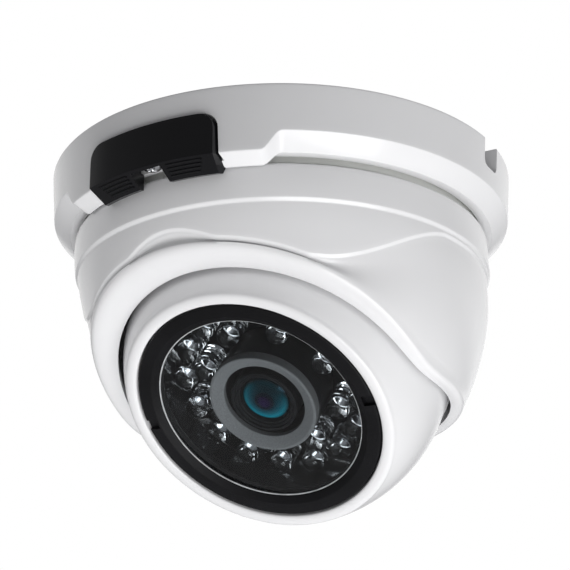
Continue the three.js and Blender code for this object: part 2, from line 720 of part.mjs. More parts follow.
function frontShell() {
  const crown = 0.45; // the rounded white edge stands a little above the face plane
  const outerStart = angleAt(ballRadius, FACE_HEIGHT - 0.3);
  const outer = arc(ballRadius, outerStart, angleAt(ballRadius, -PARTING_HEIGHT), 8);
  const shelfBack = shoulderFront - SHOULDER_THICKNESS;
  const inner = arc(shellInner, angleAt(shellInner, -PARTING_HEIGHT), angleAt(shellInner, shelfBack), 5);
  let shell = turned(
    [
      [shoulderInner, shoulderFront],
      [faceOpening, shoulderFront],
      [faceOpening, FACE_HEIGHT - 0.1],
      [faceOpening + 0.4, FACE_HEIGHT + crown * 0.8],
      [faceOpening + 1.1, FACE_HEIGHT + crown],
      ...outer,
      ...inner,
      [shoulderInner, shelfBack],
    ],
    MEDIUM,
  );
  const hollow = solid(new THREE.SphereGeometry(shellInner + 0.5, MEDIUM, 24));
  for (const [x, y] of screwSpots) {
    const boss = rod(SHELL_BOSS_RADIUS, -PARTING_HEIGHT, shelfBack - 4, x, y).intersect(hollow);
    shell = shell.add(boss).subtract(rod(SHELL_SCREW_RADIUS + CLEAR, -PARTING_HEIGHT - 1, 6, x, y, TINY));
  }
  return shell;
}

const sealThickness = 0.8;
const rearTop = -(PARTING_HEIGHT + 2 * CLEAR + sealThickness);
const headReach = screwCircle + SHELL_HEAD_RADIUS;
const screwSeat = SHELL_HEAD_HEIGHT + CLEAR - Math.sqrt((ballRadius - 0.6) ** 2 - headReach ** 2);

function rearShell() {
  const outer = arc(ballRadius, angleAt(ballRadius, rearTop), angleAt(ballRadius, -REAR_HEIGHT), 7);
  const innerFoot = -(REAR_HEIGHT - BALL_WALL);
  const inner = arc(shellInner, angleAt(shellInner, innerFoot), angleAt(shellInner, rearTop), 5);
  let shell = turned([...outer, [BUSH_RADIUS + CLEAR, -REAR_HEIGHT], [BUSH_RADIUS + CLEAR, innerFoot], ...inner], MEDIUM);
  const ball = solid(new THREE.SphereGeometry(ballRadius - 0.4, MEDIUM, 24));
  for (const [x, y] of screwSpots) {
    const boss = rod(SHELL_BOSS_RADIUS, -REAR_HEIGHT + 1, rearTop, x, y).intersect(ball);
    shell = shell.add(boss);
    shell = shell.subtract(rod(SHELL_SCREW_RADIUS + CLEAR, -REAR_HEIGHT - 2, rearTop + 1, x, y, TINY));
    shell = shell.subtract(rod(SHELL_HEAD_RADIUS + CLEAR, -REAR_HEIGHT - 6, screwSeat, x, y, SMALL));
  }
  return shell;
}

function bezelRing() {
  let bezel = turned(
    [
      [bezelInner, shoulderFront + CLEAR],
      [bezelRadius, shoulderFront + CLEAR],
      [bezelRadius, FACE_HEIGHT - 0.4],
      [bezelRadius - 0.4, FACE_HEIGHT],
      [bezelInner + 0.3, FACE_HEIGHT],
      [bezelInner, FACE_HEIGHT - 0.2],
      [glassSight, FACE_HEIGHT - BEZEL_LIP_DEPTH],
      [bezelInner, FACE_HEIGHT - BEZEL_LIP_DEPTH],
    ],
    MEDIUM,
  );
  const reach = bezelRadius + 1;
  const bar = block([-reach, -SLOT_WIDTH / 2, FACE_HEIGHT - SLOT_DEPTH], [reach, SLOT_WIDTH / 2, FACE_HEIGHT + 1]);
  const keep = rod(bezelInner + 0.35, FACE_HEIGHT - 3, FACE_HEIGHT + 2, 0, 0, MEDIUM);
  return bezel.subtract(turnZ(bar.subtract(keep), SLOT_ANGLE));
}

function lamp(x, y) {
  const shoulder = lampBack + LAMP_LENGTH - LAMP_RADIUS;
  const dome = arc(LAMP_RADIUS, 90, 0, 2).map(([r, z]) => [r, z + shoulder]);
  dome[dome.length - 1][0] = 0;
  const body = turned(
    [
      [0, lampBack],
      [LAMP_RADIUS + LAMP_RIM, lampBack],
      [LAMP_RADIUS + LAMP_RIM, lampBack + 1],
      [LAMP_RADIUS, lampBack + 1],
      ...dome,
    ],
    TINY,
  );
  return body.translate([x, y, 0]);
}

const lampSpots = [
  ...around(OUTER_LAMPS, LAMP_PHASE).map((angle) => onCircle(outerLampCircle, angle)),
  ...around(INNER_LAMPS, LAMP_PHASE + 180 / OUTER_LAMPS).map((angle) => onCircle(innerLampCircle, angle)),
];

function lensBarrel() {
  const seat = lensFront - 1.4;
  return turned(
    [
      [FRONT_ELEMENT_RADIUS - 1.2, lensBack],
      [LENS_THREAD_RADIUS, lensBack],
      [LENS_THREAD_RADIUS, lensShoulder],
      [LENS_HEAD_RADIUS, lensShoulder],
      [LENS_HEAD_RADIUS, lensFront - 0.4],
      [LENS_HEAD_RADIUS - 0.4, lensFront],
      [FRONT_ELEMENT_RADIUS + 1.1, lensFront],
      [FRONT_ELEMENT_RADIUS + CLEAR, seat],
      [FRONT_ELEMENT_RADIUS + CLEAR, seat - 1.6],
      [FRONT_ELEMENT_RADIUS - 1.2, seat - 1.6],
    ],
    24,
  );
}

function frontElement() {
  const rim = lensFront - 1.4;
  const curve = (FRONT_ELEMENT_RADIUS ** 2 + FRONT_ELEMENT_CROWN ** 2) / (2 * FRONT_ELEMENT_CROWN);
  const half = THREE.MathUtils.radToDeg(Math.asin(FRONT_ELEMENT_RADIUS / curve));
  const crown = arc(curve, half, 0, 4).map(([r, z]) => [r, z - curve + rim + FRONT_ELEMENT_CROWN]);
  crown[crown.length - 1][0] = 0;
  return turned([[0, rim - 1.6 + CLEAR], [FRONT_ELEMENT_RADIUS, rim - 1.6 + CLEAR], ...crown], 24);
}

const holderFoot = sensorBoardFront + CLEAR;
const holderBore = LENS_THREAD_RADIUS + CLEAR;
const holderTop = lensShoulder - 1.2;

function lensHolder() {
  const half = HOLDER_SIZE / 2;
  let holder = block([-half, -half, holderFoot], [half, half, lensBack + 1.2]);
  holder = holder.add(rod(holderBore + HOLDER_WALL, holderFoot + 1, holderTop, 0, 0, 24));
  holder = holder.subtract(rod(holderBore, lensBack - 0.5, holderTop + 1, 0, 0, 24));
  return holder.subtract(block([-5.5, -5.5, holderFoot - 1], [5.5, 5.5, lensBack - 1]).add(
    rod(4.4, lensBack - 1.5, lensBack, 0, 0, 24),
  ));
}

function squareBoard(front) {
  const half = BOARD_SIZE / 2;
  return block([-half, -half, front - BOARD_THICKNESS], [half, half, front]);
}

add(eyeball, "ball_front_shell", frontShell(), "whiteShell");
add(eyeball, "ball_rear_shell", rearShell(), "whiteShell");
const sealFoot = -(PARTING_HEIGHT + CLEAR + sealThickness);
let sealRing = tube(shellInner - 1.2, ballRadius - 0.9, sealFoot, sealFoot + sealThickness, MEDIUM);
for (const [x, y] of screwSpots) {
  sealRing = sealRing.subtract(rod(SHELL_BOSS_RADIUS + CLEAR, sealFoot - 1, sealFoot + 2, x, y));
}
add(eyeball, "shell_seal", sealRing, "blackRubber");
screwSpots.forEach(([x, y], i) => {
  const screw = hangingScrew(SHELL_SCREW_RADIUS, SHELL_HEAD_RADIUS, SHELL_HEAD_HEIGHT, screwSeat - CLEAR, 4, x, y);
  add(eyeball, `shell_screw_${i + 1}`, screw, "steel");
});
add(eyeball, "bezel_ring", bezelRing(), "blackSatin");
const glassDisc = turned(
  [
    [0, glassBack],
    [glassRadius, glassBack],
    [glassRadius, glassFront - 0.4],
    [glassRadius - 0.4, glassFront],
    [0, glassFront],
  ],
  MEDIUM,
);
add(eyeball, "front_glass", glassDisc, "glass");
add(eyeball, "glass_gasket", tube(housingInner, glassRadius, gasketBack, gasketBack + GASKET_HEIGHT), "blackRubber");
const lampHousing = turned(
  [
    [housingInner, shoulderFront],
    [housingOuter, shoulderFront],
    [housingOuter, housingBack],
    [housingInner - 3, housingBack],
    [housingInner - 3, housingBack + HOUSING_FLOOR],
    [housingInner, housingBack + HOUSING_FLOOR],
  ],
  MEDIUM,
);
add(eyeball, "lamp_housing", lampHousing, "blackGloss");
const lampBoard = tube(shieldBore + 0.4, housingInner - CLEAR, lampBoardBack, lampBoardFront);
add(eyeball, "lamp_board", lampBoard, "board");
lampSpots.forEach(([x, y], i) => {
  add(eyeball, `lamp_${String(i + 1).padStart(2, "0")}`, lamp(x, y), "clearEpoxy");
});
const shieldFoot = lampBoardFront + CLEAR;
add(eyeball, "lens_shield", tube(shieldBore, shieldRadius, shieldFoot, glassBack - CLEAR, 36), "greyFoam");
add(eyeball, "lens_barrel", lensBarrel(), "blackSatin");
add(eyeball, "lens_front_element", frontElement(), "lensCoating");
add(eyeball, "lens_holder", lensHolder(), "blackSatin");
const filter = block([-4.6, -4.6, lensBack - 1.9], [4.6, 4.6, lensBack - 1.3]);
add(eyeball, "infrared_filter", filter, "glass");
add(eyeball, "sensor_board", squareBoard(sensorBoardFront), "board");
const sensorTop = lensBack - 2.1;
add(eyeball, "image_sensor", block([-3.6, -2.9, sensorBoardFront + 0.05], [3.6, 2.9, sensorTop]), "chip");
add(eyeball, "main_board", squareBoard(mainBoardFront), "board");
const standoffSpot = BOARD_SIZE / 2 - STANDOFF_SIZE / 2 - 0.5;
[[-1, -1], [1, -1], [1, 1], [-1, 1]].forEach(([sx, sy], i) => {
  const x = sx * standoffSpot;
  const y = sy * standoffSpot;
  const post = rod(STANDOFF_SIZE / 2, mainBoardFront + CLEAR, sensorBoardFront - BOARD_THICKNESS - CLEAR, x, y, 6);
  add(eyeball, `board_standoff_${i + 1}`, post, "steel");
});

const bushFlange = 1.6;
const cableBush = turned(
  [
    [CORD_HOLE_RADIUS, -(REAR_HEIGHT - BALL_WALL) + CLEAR],
    [BUSH_RADIUS + 1.6, -(REAR_HEIGHT - BALL_WALL) + CLEAR],
    [BUSH_RADIUS + 1.6, -(REAR_HEIGHT - BALL_WALL) + CLEAR + bushFlange],
    [CORD_HOLE_RADIUS, -(REAR_HEIGHT - BALL_WALL) + CLEAR + bushFlange],
  ],
  24,
).add(
  turned(
    [
      [CORD_HOLE_RADIUS, -(REAR_HEIGHT - BALL_WALL) + 1],
      [BUSH_RADIUS, -(REAR_HEIGHT - BALL_WALL) + 1],
      [BUSH_RADIUS, -(REAR_HEIGHT + 1)],
      [CORD_HOLE_RADIUS + 1.2, -(REAR_HEIGHT + 3.5)],
      [CORD_HOLE_RADIUS, -(REAR_HEIGHT + 3.5)],
    ],
    24,
  ),
);
add(eyeball, "cable_bush", cableBush, "blackRubber");

export default camera;
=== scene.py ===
import json
import math
import bmesh
import bpy
import numpy as np
from mathutils import Matrix, Vector


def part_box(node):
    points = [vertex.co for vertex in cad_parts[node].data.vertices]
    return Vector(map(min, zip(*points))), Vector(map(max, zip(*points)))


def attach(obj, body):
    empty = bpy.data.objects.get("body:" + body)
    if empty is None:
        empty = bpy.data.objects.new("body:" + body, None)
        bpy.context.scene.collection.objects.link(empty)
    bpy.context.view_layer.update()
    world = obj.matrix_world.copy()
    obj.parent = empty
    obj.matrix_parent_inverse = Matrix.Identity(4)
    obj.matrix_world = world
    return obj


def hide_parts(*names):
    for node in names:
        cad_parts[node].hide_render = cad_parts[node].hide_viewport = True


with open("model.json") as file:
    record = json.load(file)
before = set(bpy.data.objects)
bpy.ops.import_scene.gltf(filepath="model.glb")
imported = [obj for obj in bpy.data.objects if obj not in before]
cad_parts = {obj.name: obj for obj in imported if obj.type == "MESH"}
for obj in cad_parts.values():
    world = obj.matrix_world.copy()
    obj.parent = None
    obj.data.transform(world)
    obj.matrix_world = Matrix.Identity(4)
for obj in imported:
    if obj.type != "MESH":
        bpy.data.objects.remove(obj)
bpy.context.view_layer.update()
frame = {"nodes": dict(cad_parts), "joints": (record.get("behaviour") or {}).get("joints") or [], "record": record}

# ---- places, in millimetres ---------------------------------------------------------------------


def corners(node):
    lo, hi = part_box(node)
    return np.array(lo) * 1000, np.array(hi) * 1000


def joint(name):
    return next(j for j in frame["joints"] if j["name"] == name)


RING_LO, RING_HI = corners("base_ring")
COVER_HI = corners("dome_cover")[1]
LATCH_LO, LATCH_HI = corners("latch_cover")
RING_R = RING_HI[0]
BAND_R = COVER_HI[0]
BAND_TOP = COVER_HI[2]
BALL = np.array(joint("tilt")["pos_m"]) * 1000
BALL_R = corners("ball_rear_shell")[1][0]
LOOK = np.array(joint("roll")["axis"], float)
LOOK /= np.linalg.norm(LOOK)
BALL_Z = BALL[2]
SETBACK = BALL[1]
BAND_FOOT = BALL_Z + 16.2
SOCKET_R = BALL_R + 1.0
SKIRT_R = RING_R - 0.6
LIP_R = BAND_R + 0.9
SKIRT_Z = -9.5
BORE = SKIRT_R - 3.1
LEDGE_Z = -2.7
LIP_Z = BAND_TOP + 1.2
BOSS_Z = RING_LO[2]
BOSS_EDGE = BOSS_Z + 1.5
FACE = 18.0
BEZEL_R = corners("bezel_ring")[1][0]
BEZEL_IN = BEZEL_R - 2.8
GLASS_FRONT = FACE - 1.3
WINDOW_GAP = 0.3
CORNER = 3.0
NOTCH_AZIMUTH = 5
BEZEL_SLOT_ANGLE = -5.5
LAMP_PHASE = 1.9
OUTER_LAMPS, OUTER_CIRCLE = 16, 18.27
INNER_LAMPS, INNER_CIRCLE = 8, 14.0

SIDE = np.array([1.0, 0, 0])
UP = np.cross(LOOK, SIDE)
EYE = Matrix((
    (SIDE[0], UP[0], LOOK[0], BALL[0]),
    (SIDE[1], UP[1], LOOK[1], BALL[1]),
    (SIDE[2], UP[2], LOOK[2], BALL[2]),
    (0, 0, 0, 1),
))
REST = Matrix.Identity(4)

SLOTS = {part["node"]: part["material_slot"] for part in frame["record"]["subparts"]}

# ---- mesh helpers -------------------------------------------------------------------------------


def smooth(lo, hi, v):
    t = min(1.0, max(0.0, (v - lo) / (hi - lo)))
    return t * t * (3 - 2 * t)


def make(name, verts, faces, place=REST, angle=35):
    m = bpy.data.meshes.new(name)
    p = np.array(verts, float).reshape(-1, 3)
    r = np.array(place)[:3, :3]
    p = (p @ r.T + np.array(place)[:3, 3]) / 1000
    m.from_pydata(p.tolist(), [], faces)
    m.validate()
    o = bpy.data.objects.new(name, m)
    bpy.context.scene.collection.objects.link(o)
    m.polygons.foreach_set("use_smooth", [True] * len(m.polygons))
    m.set_sharp_from_angle(angle=math.radians(angle))
    return o


def fillet(profile, radius, steps=5):
    """Rounds each corner of a profile of [r, z] or [r, z, own radius]."""
    out = []
    n = len(profile)
    for i, p in enumerate(profile):
        c = np.array(p[:2], float)
        rr = p[2] if len(p) > 2 else radius
        if rr <= 0:
            out.append(c)
            continue
        a = np.array(profile[i - 1][:2], float) - c
        b = np.array(profile[(i + 1) % n][:2], float) - c
        la, lb = np.linalg.norm(a), np.linalg.norm(b)
        a /= la
        b /= lb
        turn = math.acos(max(-1, min(1, float(a @ b))))
        if turn > math.radians(172):
            out.append(c)
            continue
        reach = min(rr / math.tan(turn / 2), la * 0.48, lb * 0.48)
        for k in range(steps + 1):
            t = k / steps
            out.append((1 - t) ** 2 * (c + a * reach) + 2 * t * (1 - t) * c + t * t * (c + b * reach))
    return [tuple(q) for q in out]


def swept(name, profile_at, count, place=REST, shift=None, angle=35):
    """A ring whose profile of (r, z) may change with azimuth, measured from the front (-Y) towards +X."""
    verts, faces = [], []
    n = None
    for i in range(count):
        az = 2 * math.pi * i / count
        a = az - 2 * math.pi if az > math.pi else az
        prof = profile_at(a)
        n = len(prof)
        for r, z in prof:
            dy = shift(z) if shift else 0
            verts.append((r * math.sin(az), dy - r * math.cos(az), z))
    for i in range(count):
        j = (i + 1) % count
        for k in range(n):
            l = (k + 1) % n
            faces.append((i * n + k, i * n + l, j * n + l, j * n + k))
    return make(name, verts, faces, place, angle)


def lathe(name, profile, count=160, place=REST, angle=35):
    """A turned body. A profile that starts and ends on the axis is closed there."""
    on_axis = abs(profile[0][0]) < 1e-9 and abs(profile[-1][0]) < 1e-9
    if not on_axis:
        return swept(name, lambda a: profile, count, place, None, angle)
    core = profile[1:-1]
    n = len(core)
    verts = []
    for i in range(count):
        az = 2 * math.pi * i / count
        verts += [(r * math.sin(az), -r * math.cos(az), z) for r, z in core]
    top, end = len(verts), len(verts) + 1
    verts += [(0, 0, profile[0][1]), (0, 0, profile[-1][1])]
    faces = []
    for i in range(count):
        j = (i + 1) % count
        faces.append((top, i * n, j * n))
        faces.append((end, j * n + n - 1, i * n + n - 1))
        for k in range(n - 1):
            faces.append((i * n + k, i * n + k + 1, j * n + k + 1, j * n + k))
    return make(name, verts, faces, place, angle)


def outward(o):
    b = bmesh.new()
    b.from_mesh(o.data)
    bmesh.ops.recalc_face_normals(b, faces=b.faces)
    b.to_mesh(o.data)
    b.free()
    return o


def box_mesh(name, lo, hi, place=REST):
    lo, hi = np.array(lo, float), np.array(hi, float)
    v = [(x, y, z) for x in (lo[0], hi[0]) for y in (lo[1], hi[1]) for z in (lo[2], hi[2])]
    f = [(0, 1, 3, 2), (4, 6, 7, 5), (0, 4, 5, 1), (2, 3, 7, 6), (0, 2, 6, 4), (1, 5, 7, 3)]
    return make(name, v, f, place)


def prism(name, outline, y0, y1):
    """An outline in X and Z pushed along Y."""
    n = len(outline)
    v = [(x, y0, z) for x, z in outline] + [(x, y1, z) for x, z in outline]
    f = [tuple(range(n)), tuple(reversed(range(n, 2 * n)))]
    f += [(i, (i + 1) % n, n + (i + 1) % n, n + i) for i in range(n)]
    return outward(make(name, v, f))


def cut(o, tool, how="DIFFERENCE"):
    mod = o.modifiers.new("cut", "BOOLEAN")
    mod.operation, mod.object, mod.solver = how, tool, "EXACT"
    dg = bpy.context.evaluated_depsgraph_get()
    mesh = bpy.data.meshes.new_from_object(o.evaluated_get(dg))
    o.modifiers.clear()
    old = o.data
    o.data = mesh
    bpy.data.meshes.remove(old)
    bpy.data.objects.remove(tool)
    return o


def join(name, objs):
    verts, faces = [], []
    dg = bpy.context.evaluated_depsgraph_get()
    for o in objs:
        e = o.evaluated_get(dg)
        m = e.to_mesh()
        base = len(verts)
        verts += [tuple(e.matrix_world @ v.co) for v in m.vertices]
        faces += [tuple(base + i for i in p.vertices) for p in m.polygons]
        e.to_mesh_clear()
    for o in objs:
        bpy.data.objects.remove(o)
    out = make(name, np.array(verts) * 1000, faces)
    return out


def bevel(o, width, angle=30, segments=3):
    mod = o.modifiers.new("edge", "BEVEL")
    mod.width, mod.segments, mod.angle_limit = width / 1000, segments, math.radians(angle)
    mod.harden_normals = True
    return o


def arc(radius, a0, a1, steps):
    """Points on a sphere's outline; angles in degrees from the +Z axis."""
    out = []
    for i in range(steps + 1):
        a = math.radians(a0 + (a1 - a0) * i / steps)
        out.append((radius * math.sin(a), radius * math.cos(a)))
    return out


def at(radius, z):
    return math.degrees(math.acos(z / radius))


# ---- materials ----------------------------------------------------------------------------------


ROUGH_SPAN = 0.06
COAT_ROUGHNESS = 0.05


def shader(name, color, rough, metal=0.0, grain=0.02, scale=60.0, bump=0.0, bump_scale=2200.0, spec=0.5,
           coat=0.0):
    """A node material: colour and roughness drift with noise, and a fine bump where the surface has one."""
    m = bpy.data.materials.new(name)
    m.use_nodes = True
    nt = m.node_tree
    p = nt.nodes["Principled BSDF"]
    tex = nt.nodes.new("ShaderNodeTexCoord")
    noise = nt.nodes.new("ShaderNodeTexNoise")
    noise.inputs["Scale"].default_value = scale
    noise.inputs["Detail"].default_value = 4
    nt.links.new(tex.outputs["Object"], noise.inputs["Vector"])
    ramp = nt.nodes.new("ShaderNodeValToRGB")
    low = [max(0, c * (1 - grain)) for c in color]
    high = [min(1, c * (1 + grain)) for c in color]
    ramp.color_ramp.elements[0].position, ramp.color_ramp.elements[0].color = 0.3, (*low, 1)
    ramp.color_ramp.elements[1].position, ramp.color_ramp.elements[1].color = 0.7, (*high, 1)
    nt.links.new(noise.outputs["Fac"], ramp.inputs["Fac"])
    nt.links.new(ramp.outputs["Color"], p.inputs["Base Color"])
    span = nt.nodes.new("ShaderNodeMapRange")
    span.inputs["To Min"].default_value = max(0.02, rough - ROUGH_SPAN)
    span.inputs["To Max"].default_value = min(1, rough + ROUGH_SPAN)
    nt.links.new(noise.outputs["Fac"], span.inputs["Value"])
    nt.links.new(span.outputs["Result"], p.inputs["Roughness"])
    p.inputs["Metallic"].default_value = metal
    p.inputs["Specular IOR Level"].default_value = spec
    if coat:
        p.inputs["Coat Weight"].default_value = coat
        p.inputs["Coat Roughness"].default_value = COAT_ROUGHNESS
    if bump:
        fine = nt.nodes.new("ShaderNodeTexNoise")
        fine.inputs["Scale"].default_value = bump_scale
        fine.inputs["Detail"].default_value = 3
        nt.links.new(tex.outputs["Object"], fine.inputs["Vector"])
        b = nt.nodes.new("ShaderNodeBump")
        b.inputs["Strength"].default_value = bump
        b.inputs["Distance"].default_value = 0.0002
        nt.links.new(fine.outputs["Fac"], b.inputs["Height"])
        nt.links.new(b.outputs["Normal"], p.inputs["Normal"])
    return m


def clear(name, tint, ior=1.46, rough=0.02, thin=False):
    m = bpy.data.materials.new(name)
    m.use_nodes = True
    nt = m.node_tree
    p = nt.nodes["Principled BSDF"]
    tex = nt.nodes.new("ShaderNodeTexCoord")
    noise = nt.nodes.new("ShaderNodeTexNoise")
    noise.inputs["Scale"].default_value = 90
    nt.links.new(tex.outputs["Object"], noise.inputs["Vector"])
    span = nt.nodes.new("ShaderNodeMapRange")
    span.inputs["To Min"].default_value = rough * 0.5
    span.inputs["To Max"].default_value = rough * 1.5
    nt.links.new(noise.outputs["Fac"], span.inputs["Value"])
    if not thin:
        nt.links.new(span.outputs["Result"], p.inputs["Roughness"])
        p.inputs["Base Color"].default_value = (*tint, 1)
        p.inputs["Transmission Weight"].default_value = 1
        p.inputs["IOR"].default_value = ior
        return m
    nt.nodes.remove(p)
    out = nt.nodes["Material Output"]
    through = nt.nodes.new("ShaderNodeBsdfTransparent")
    through.inputs["Color"].default_value = (*tint, 1)
    gloss = nt.nodes.new("ShaderNodeBsdfGlossy")
    gloss.inputs["Color"].default_value = (1, 1, 1, 1)
    nt.links.new(span.outputs["Result"], gloss.inputs["Roughness"])
    fres = nt.nodes.new("ShaderNodeFresnel")
    fres.inputs["IOR"].default_value = ior
    mix = nt.nodes.new("ShaderNodeMixShader")
    geo = nt.nodes.new("ShaderNodeNewGeometry")
    front = nt.nodes.new("ShaderNodeMath")
    front.operation = "MULTIPLY_ADD"
    nt.links.new(geo.outputs["Backfacing"], front.inputs[0])
    front.inputs[1].default_value = -1.0
    front.inputs[2].default_value = 1.0
    share = nt.nodes.new("ShaderNodeMath")
    share.operation = "MULTIPLY"
    nt.links.new(fres.outputs["Fac"], share.inputs[0])
    nt.links.new(front.outputs["Value"], share.inputs[1])
    nt.links.new(share.outputs["Value"], mix.inputs["Fac"])
    nt.links.new(through.outputs["BSDF"], mix.inputs[1])
    nt.links.new(gloss.outputs["BSDF"], mix.inputs[2])
    nt.links.new(mix.outputs["Shader"], out.inputs["Surface"])
    return m


MAT = {
    "white_shell": shader("white_shell", (0.80, 0.80, 0.81), 0.24, grain=0.012, coat=0.35, spec=0.45,
        bump=0.02),
    "black_gloss": shader("black_gloss", (0.004, 0.004, 0.005), 0.14, grain=0.2, spec=0.3, coat=0.12),
    "black_satin": shader("black_satin", (0.006, 0.006, 0.007), 0.45, grain=0.3, spec=0.2, bump=0.5,
        bump_scale=3800),
    "black_rubber": shader("black_rubber", (0.012, 0.012, 0.013), 0.72, grain=0.2, bump=0.4, bump_scale=3000),
    "plated_steel": shader("plated_steel", (0.62, 0.63, 0.65), 0.34, 1.0, grain=0.06, bump=0.15,
        bump_scale=900),
    "screw_steel": shader("screw_steel", (0.68, 0.69, 0.71), 0.22, 1.0, grain=0.08, bump=0.2,
        bump_scale=2500),
    "acetal": shader("acetal", (0.72, 0.73, 0.70), 0.45, grain=0.03),
    "grey_foam": shader("grey_foam", (0.15, 0.152, 0.155), 0.7, grain=0.2, scale=3200, bump=0.6,
        bump_scale=4200),
    "lamp_board": shader("lamp_board", (0.003, 0.003, 0.004), 0.7, grain=0.3, spec=0.03, bump=0.2),
    "circuit_board": shader("circuit_board", (0.012, 0.09, 0.035), 0.4, grain=0.15, scale=300, bump=0.2),
    "chip": shader("chip", (0.012, 0.013, 0.016), 0.3, grain=0.2),
    "clear_glass": clear("clear_glass", (0.93, 0.95, 0.96), 1.45, 0.015, thin=True),
    "clear_epoxy": clear("clear_epoxy", (0.97, 0.98, 0.99), 1.5, 0.01),
}


def coated():
    """Dark glass, violet in the middle, with a painted blue-green reflection of the coating as a crescent towards
    the lower left edge; the whole colour is painted brighter towards the lower left.
    """
    m = bpy.data.materials.new("coated_glass")
    m.use_nodes = True
    nt = m.node_tree
    p = nt.nodes["Principled BSDF"]
    tex = nt.nodes.new("ShaderNodeTexCoord")
    rel = nt.nodes.new("ShaderNodeVectorMath")
    rel.operation = "SUBTRACT"
    rel.inputs[1].default_value = (EYE @ Matrix.Translation((0, 0, FACE - 4.9))).to_translation() / 1000
    nt.links.new(tex.outputs["Object"], rel.inputs[0])
    size = nt.nodes.new("ShaderNodeVectorMath")
    size.operation = "LENGTH"
    nt.links.new(rel.outputs["Vector"], size.inputs[0])
    reach = nt.nodes.new("ShaderNodeMath")
    reach.operation = "DIVIDE"
    reach.inputs[1].default_value = 0.0048
    nt.links.new(size.outputs["Value"], reach.inputs[0])
    ramp = nt.nodes.new("ShaderNodeValToRGB")
    e = ramp.color_ramp.elements
    e[0].position, e[0].color = 0.20, (0.03, 0.006, 0.07, 1)
    e[1].position, e[1].color = 1.0, (0.001, 0.008, 0.012, 1)
    # the blue-green stops near the edge are a painted reflection of the coating
    for spot, color in ((0.42, (0.001, 0.003, 0.010, 1)), (0.70, (0.001, 0.10, 0.14, 1)),
        (0.86, (0.001, 0.20, 0.27, 1))):
        e.new(spot).color = color
    nt.links.new(reach.outputs["Value"], ramp.inputs["Fac"])
    # painted reflection: the colour is scaled from dark on the far side up to full towards the lower left
    painted_reflection_side = nt.nodes.new("ShaderNodeVectorMath")
    painted_reflection_side.operation = "DOT_PRODUCT"
    painted_reflection_side.inputs[1].default_value = EYE.to_3x3() @ Vector((-0.62, -0.78, 0))
    nt.links.new(rel.outputs["Vector"], painted_reflection_side.inputs[0])
    span = nt.nodes.new("ShaderNodeMapRange")
    span.inputs["From Min"].default_value, span.inputs["From Max"].default_value = -0.003, 0.0035
    span.inputs["To Min"].default_value = 0.08
    nt.links.new(painted_reflection_side.outputs["Value"], span.inputs["Value"])
    painted_reflection_tone = nt.nodes.new("ShaderNodeVectorMath")
    painted_reflection_tone.operation = "SCALE"
    nt.links.new(ramp.outputs["Color"], painted_reflection_tone.inputs[0])
    nt.links.new(span.outputs["Result"], painted_reflection_tone.inputs["Scale"])
    nt.links.new(painted_reflection_tone.outputs["Vector"], p.inputs["Base Color"])
    p.inputs["Roughness"].default_value = 0.04
    p.inputs["Specular Tint"].default_value = (0.35, 0.75, 1.0, 1)
    p.inputs["Specular IOR Level"].default_value = 0.25
    return m


MAT["coated_glass"] = coated()


def dress(o, body, slot, *nodes):
    o.data.materials.clear()
    o.data.materials.append(MAT[slot])
    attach(o, body)
    if nodes:
        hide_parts(*nodes)
    return o


# ---- base ring: skirt, chamfer, front boss, latch window, cable notch ---------------------------


def boss_share(az):
    across = abs(SKIRT_R * math.sin(az)) if abs(az) < math.pi / 2 else 99
    return 1 - smooth(21.9, 25.4, across)


def ring_profile(az):
    b = boss_share(az)
    edge = SKIRT_Z + (BOSS_EDGE - SKIRT_Z) * b
    foot = LIP_Z + (BOSS_Z - LIP_Z) * b
    inner = LIP_R - 0.08 - 0.42 * b
    low = SKIRT_R - 0.2 * b
    rows = [(RING_R + (low - RING_R) * t, edge * t, 0) for t in np.linspace(0.08, 0.92, 12)]
    return fillet([
        (RING_R, 0, 0.35),
        *rows,
        (low, edge, 0.45),
        (LIP_R, foot, 0.3),
        (inner, foot + 0.02, 0.05),
        (inner, LIP_Z + 0.05, 0.0),
        (LIP_R - 2.0, LIP_Z + 0.04, 0.2),
        (LIP_R - 2.0, LIP_Z + 1.4, 0.1),
        (BORE, LIP_Z + 1.4, 0.1),
        (BORE, LEDGE_Z - 1.8, 0.1),
        (BORE - 2.4, LEDGE_Z - 1.8, 0.15),
        (BORE - 2.4, LEDGE_Z, 0.15),
        (BORE, LEDGE_Z, 0.1),
        (BORE, 0, 0.2),
    ], 0.3, 4)


ring = outward(swept("base_ring_shell", ring_profile, 480, angle=50))
half = LATCH_HI[0] + WINDOW_GAP
top = LATCH_HI[2] + WINDOW_GAP
corner = [
    (half - CORNER + CORNER * math.sin(a), top - CORNER + CORNER * math.cos(a))
    for a in np.linspace(math.pi / 2, 0, 9)
]
outline = [(-half, BOSS_Z - 2), (half, BOSS_Z - 2), *corner, *[(-x, z) for x, z in reversed(corner)]]
window = prism("window", outline, -60, -(SKIRT_R - 4.4))
cut(ring, window)
notch_outline = [(-3, 2), (3, 2), (3, -4.4), (2.6, -5.4), (1.6, -5.8), (-1.6, -5.8), (-2.6, -5.4), (-3, -4.4)]
notch = prism("notch", [(x, z) for x, z in notch_outline], 38, 52)
notch.matrix_world = Matrix.Rotation(math.radians(NOTCH_AZIMUTH - 90), 4, "Z")
cut(ring, notch)
bevel(ring, 0.12, 50, 2)
dress(ring, "base", "white_shell", "base_ring")

# ---- mounting plate: disc with a rolled edge, three hooks under the ring's ledge, screw holes ---


def sector(name, profile, a0, a1, steps):
    """Part of a turned body between two azimuths in degrees, closed at both ends."""
    n = len(profile)
    verts, faces = [], []
    for a in np.radians(np.linspace(a0, a1, steps + 1)):
        verts += [(r * math.sin(a), -r * math.cos(a), z) for r, z in profile]
    for i in range(steps):
        for k in range(n):
            j = (k + 1) % n
            faces.append((i * n + k, i * n + j, (i + 1) * n + j, (i + 1) * n + k))
    faces += [tuple(range(n)), tuple(reversed(range(steps * n, (steps + 1) * n)))]
    return outward(make(name, verts, faces))


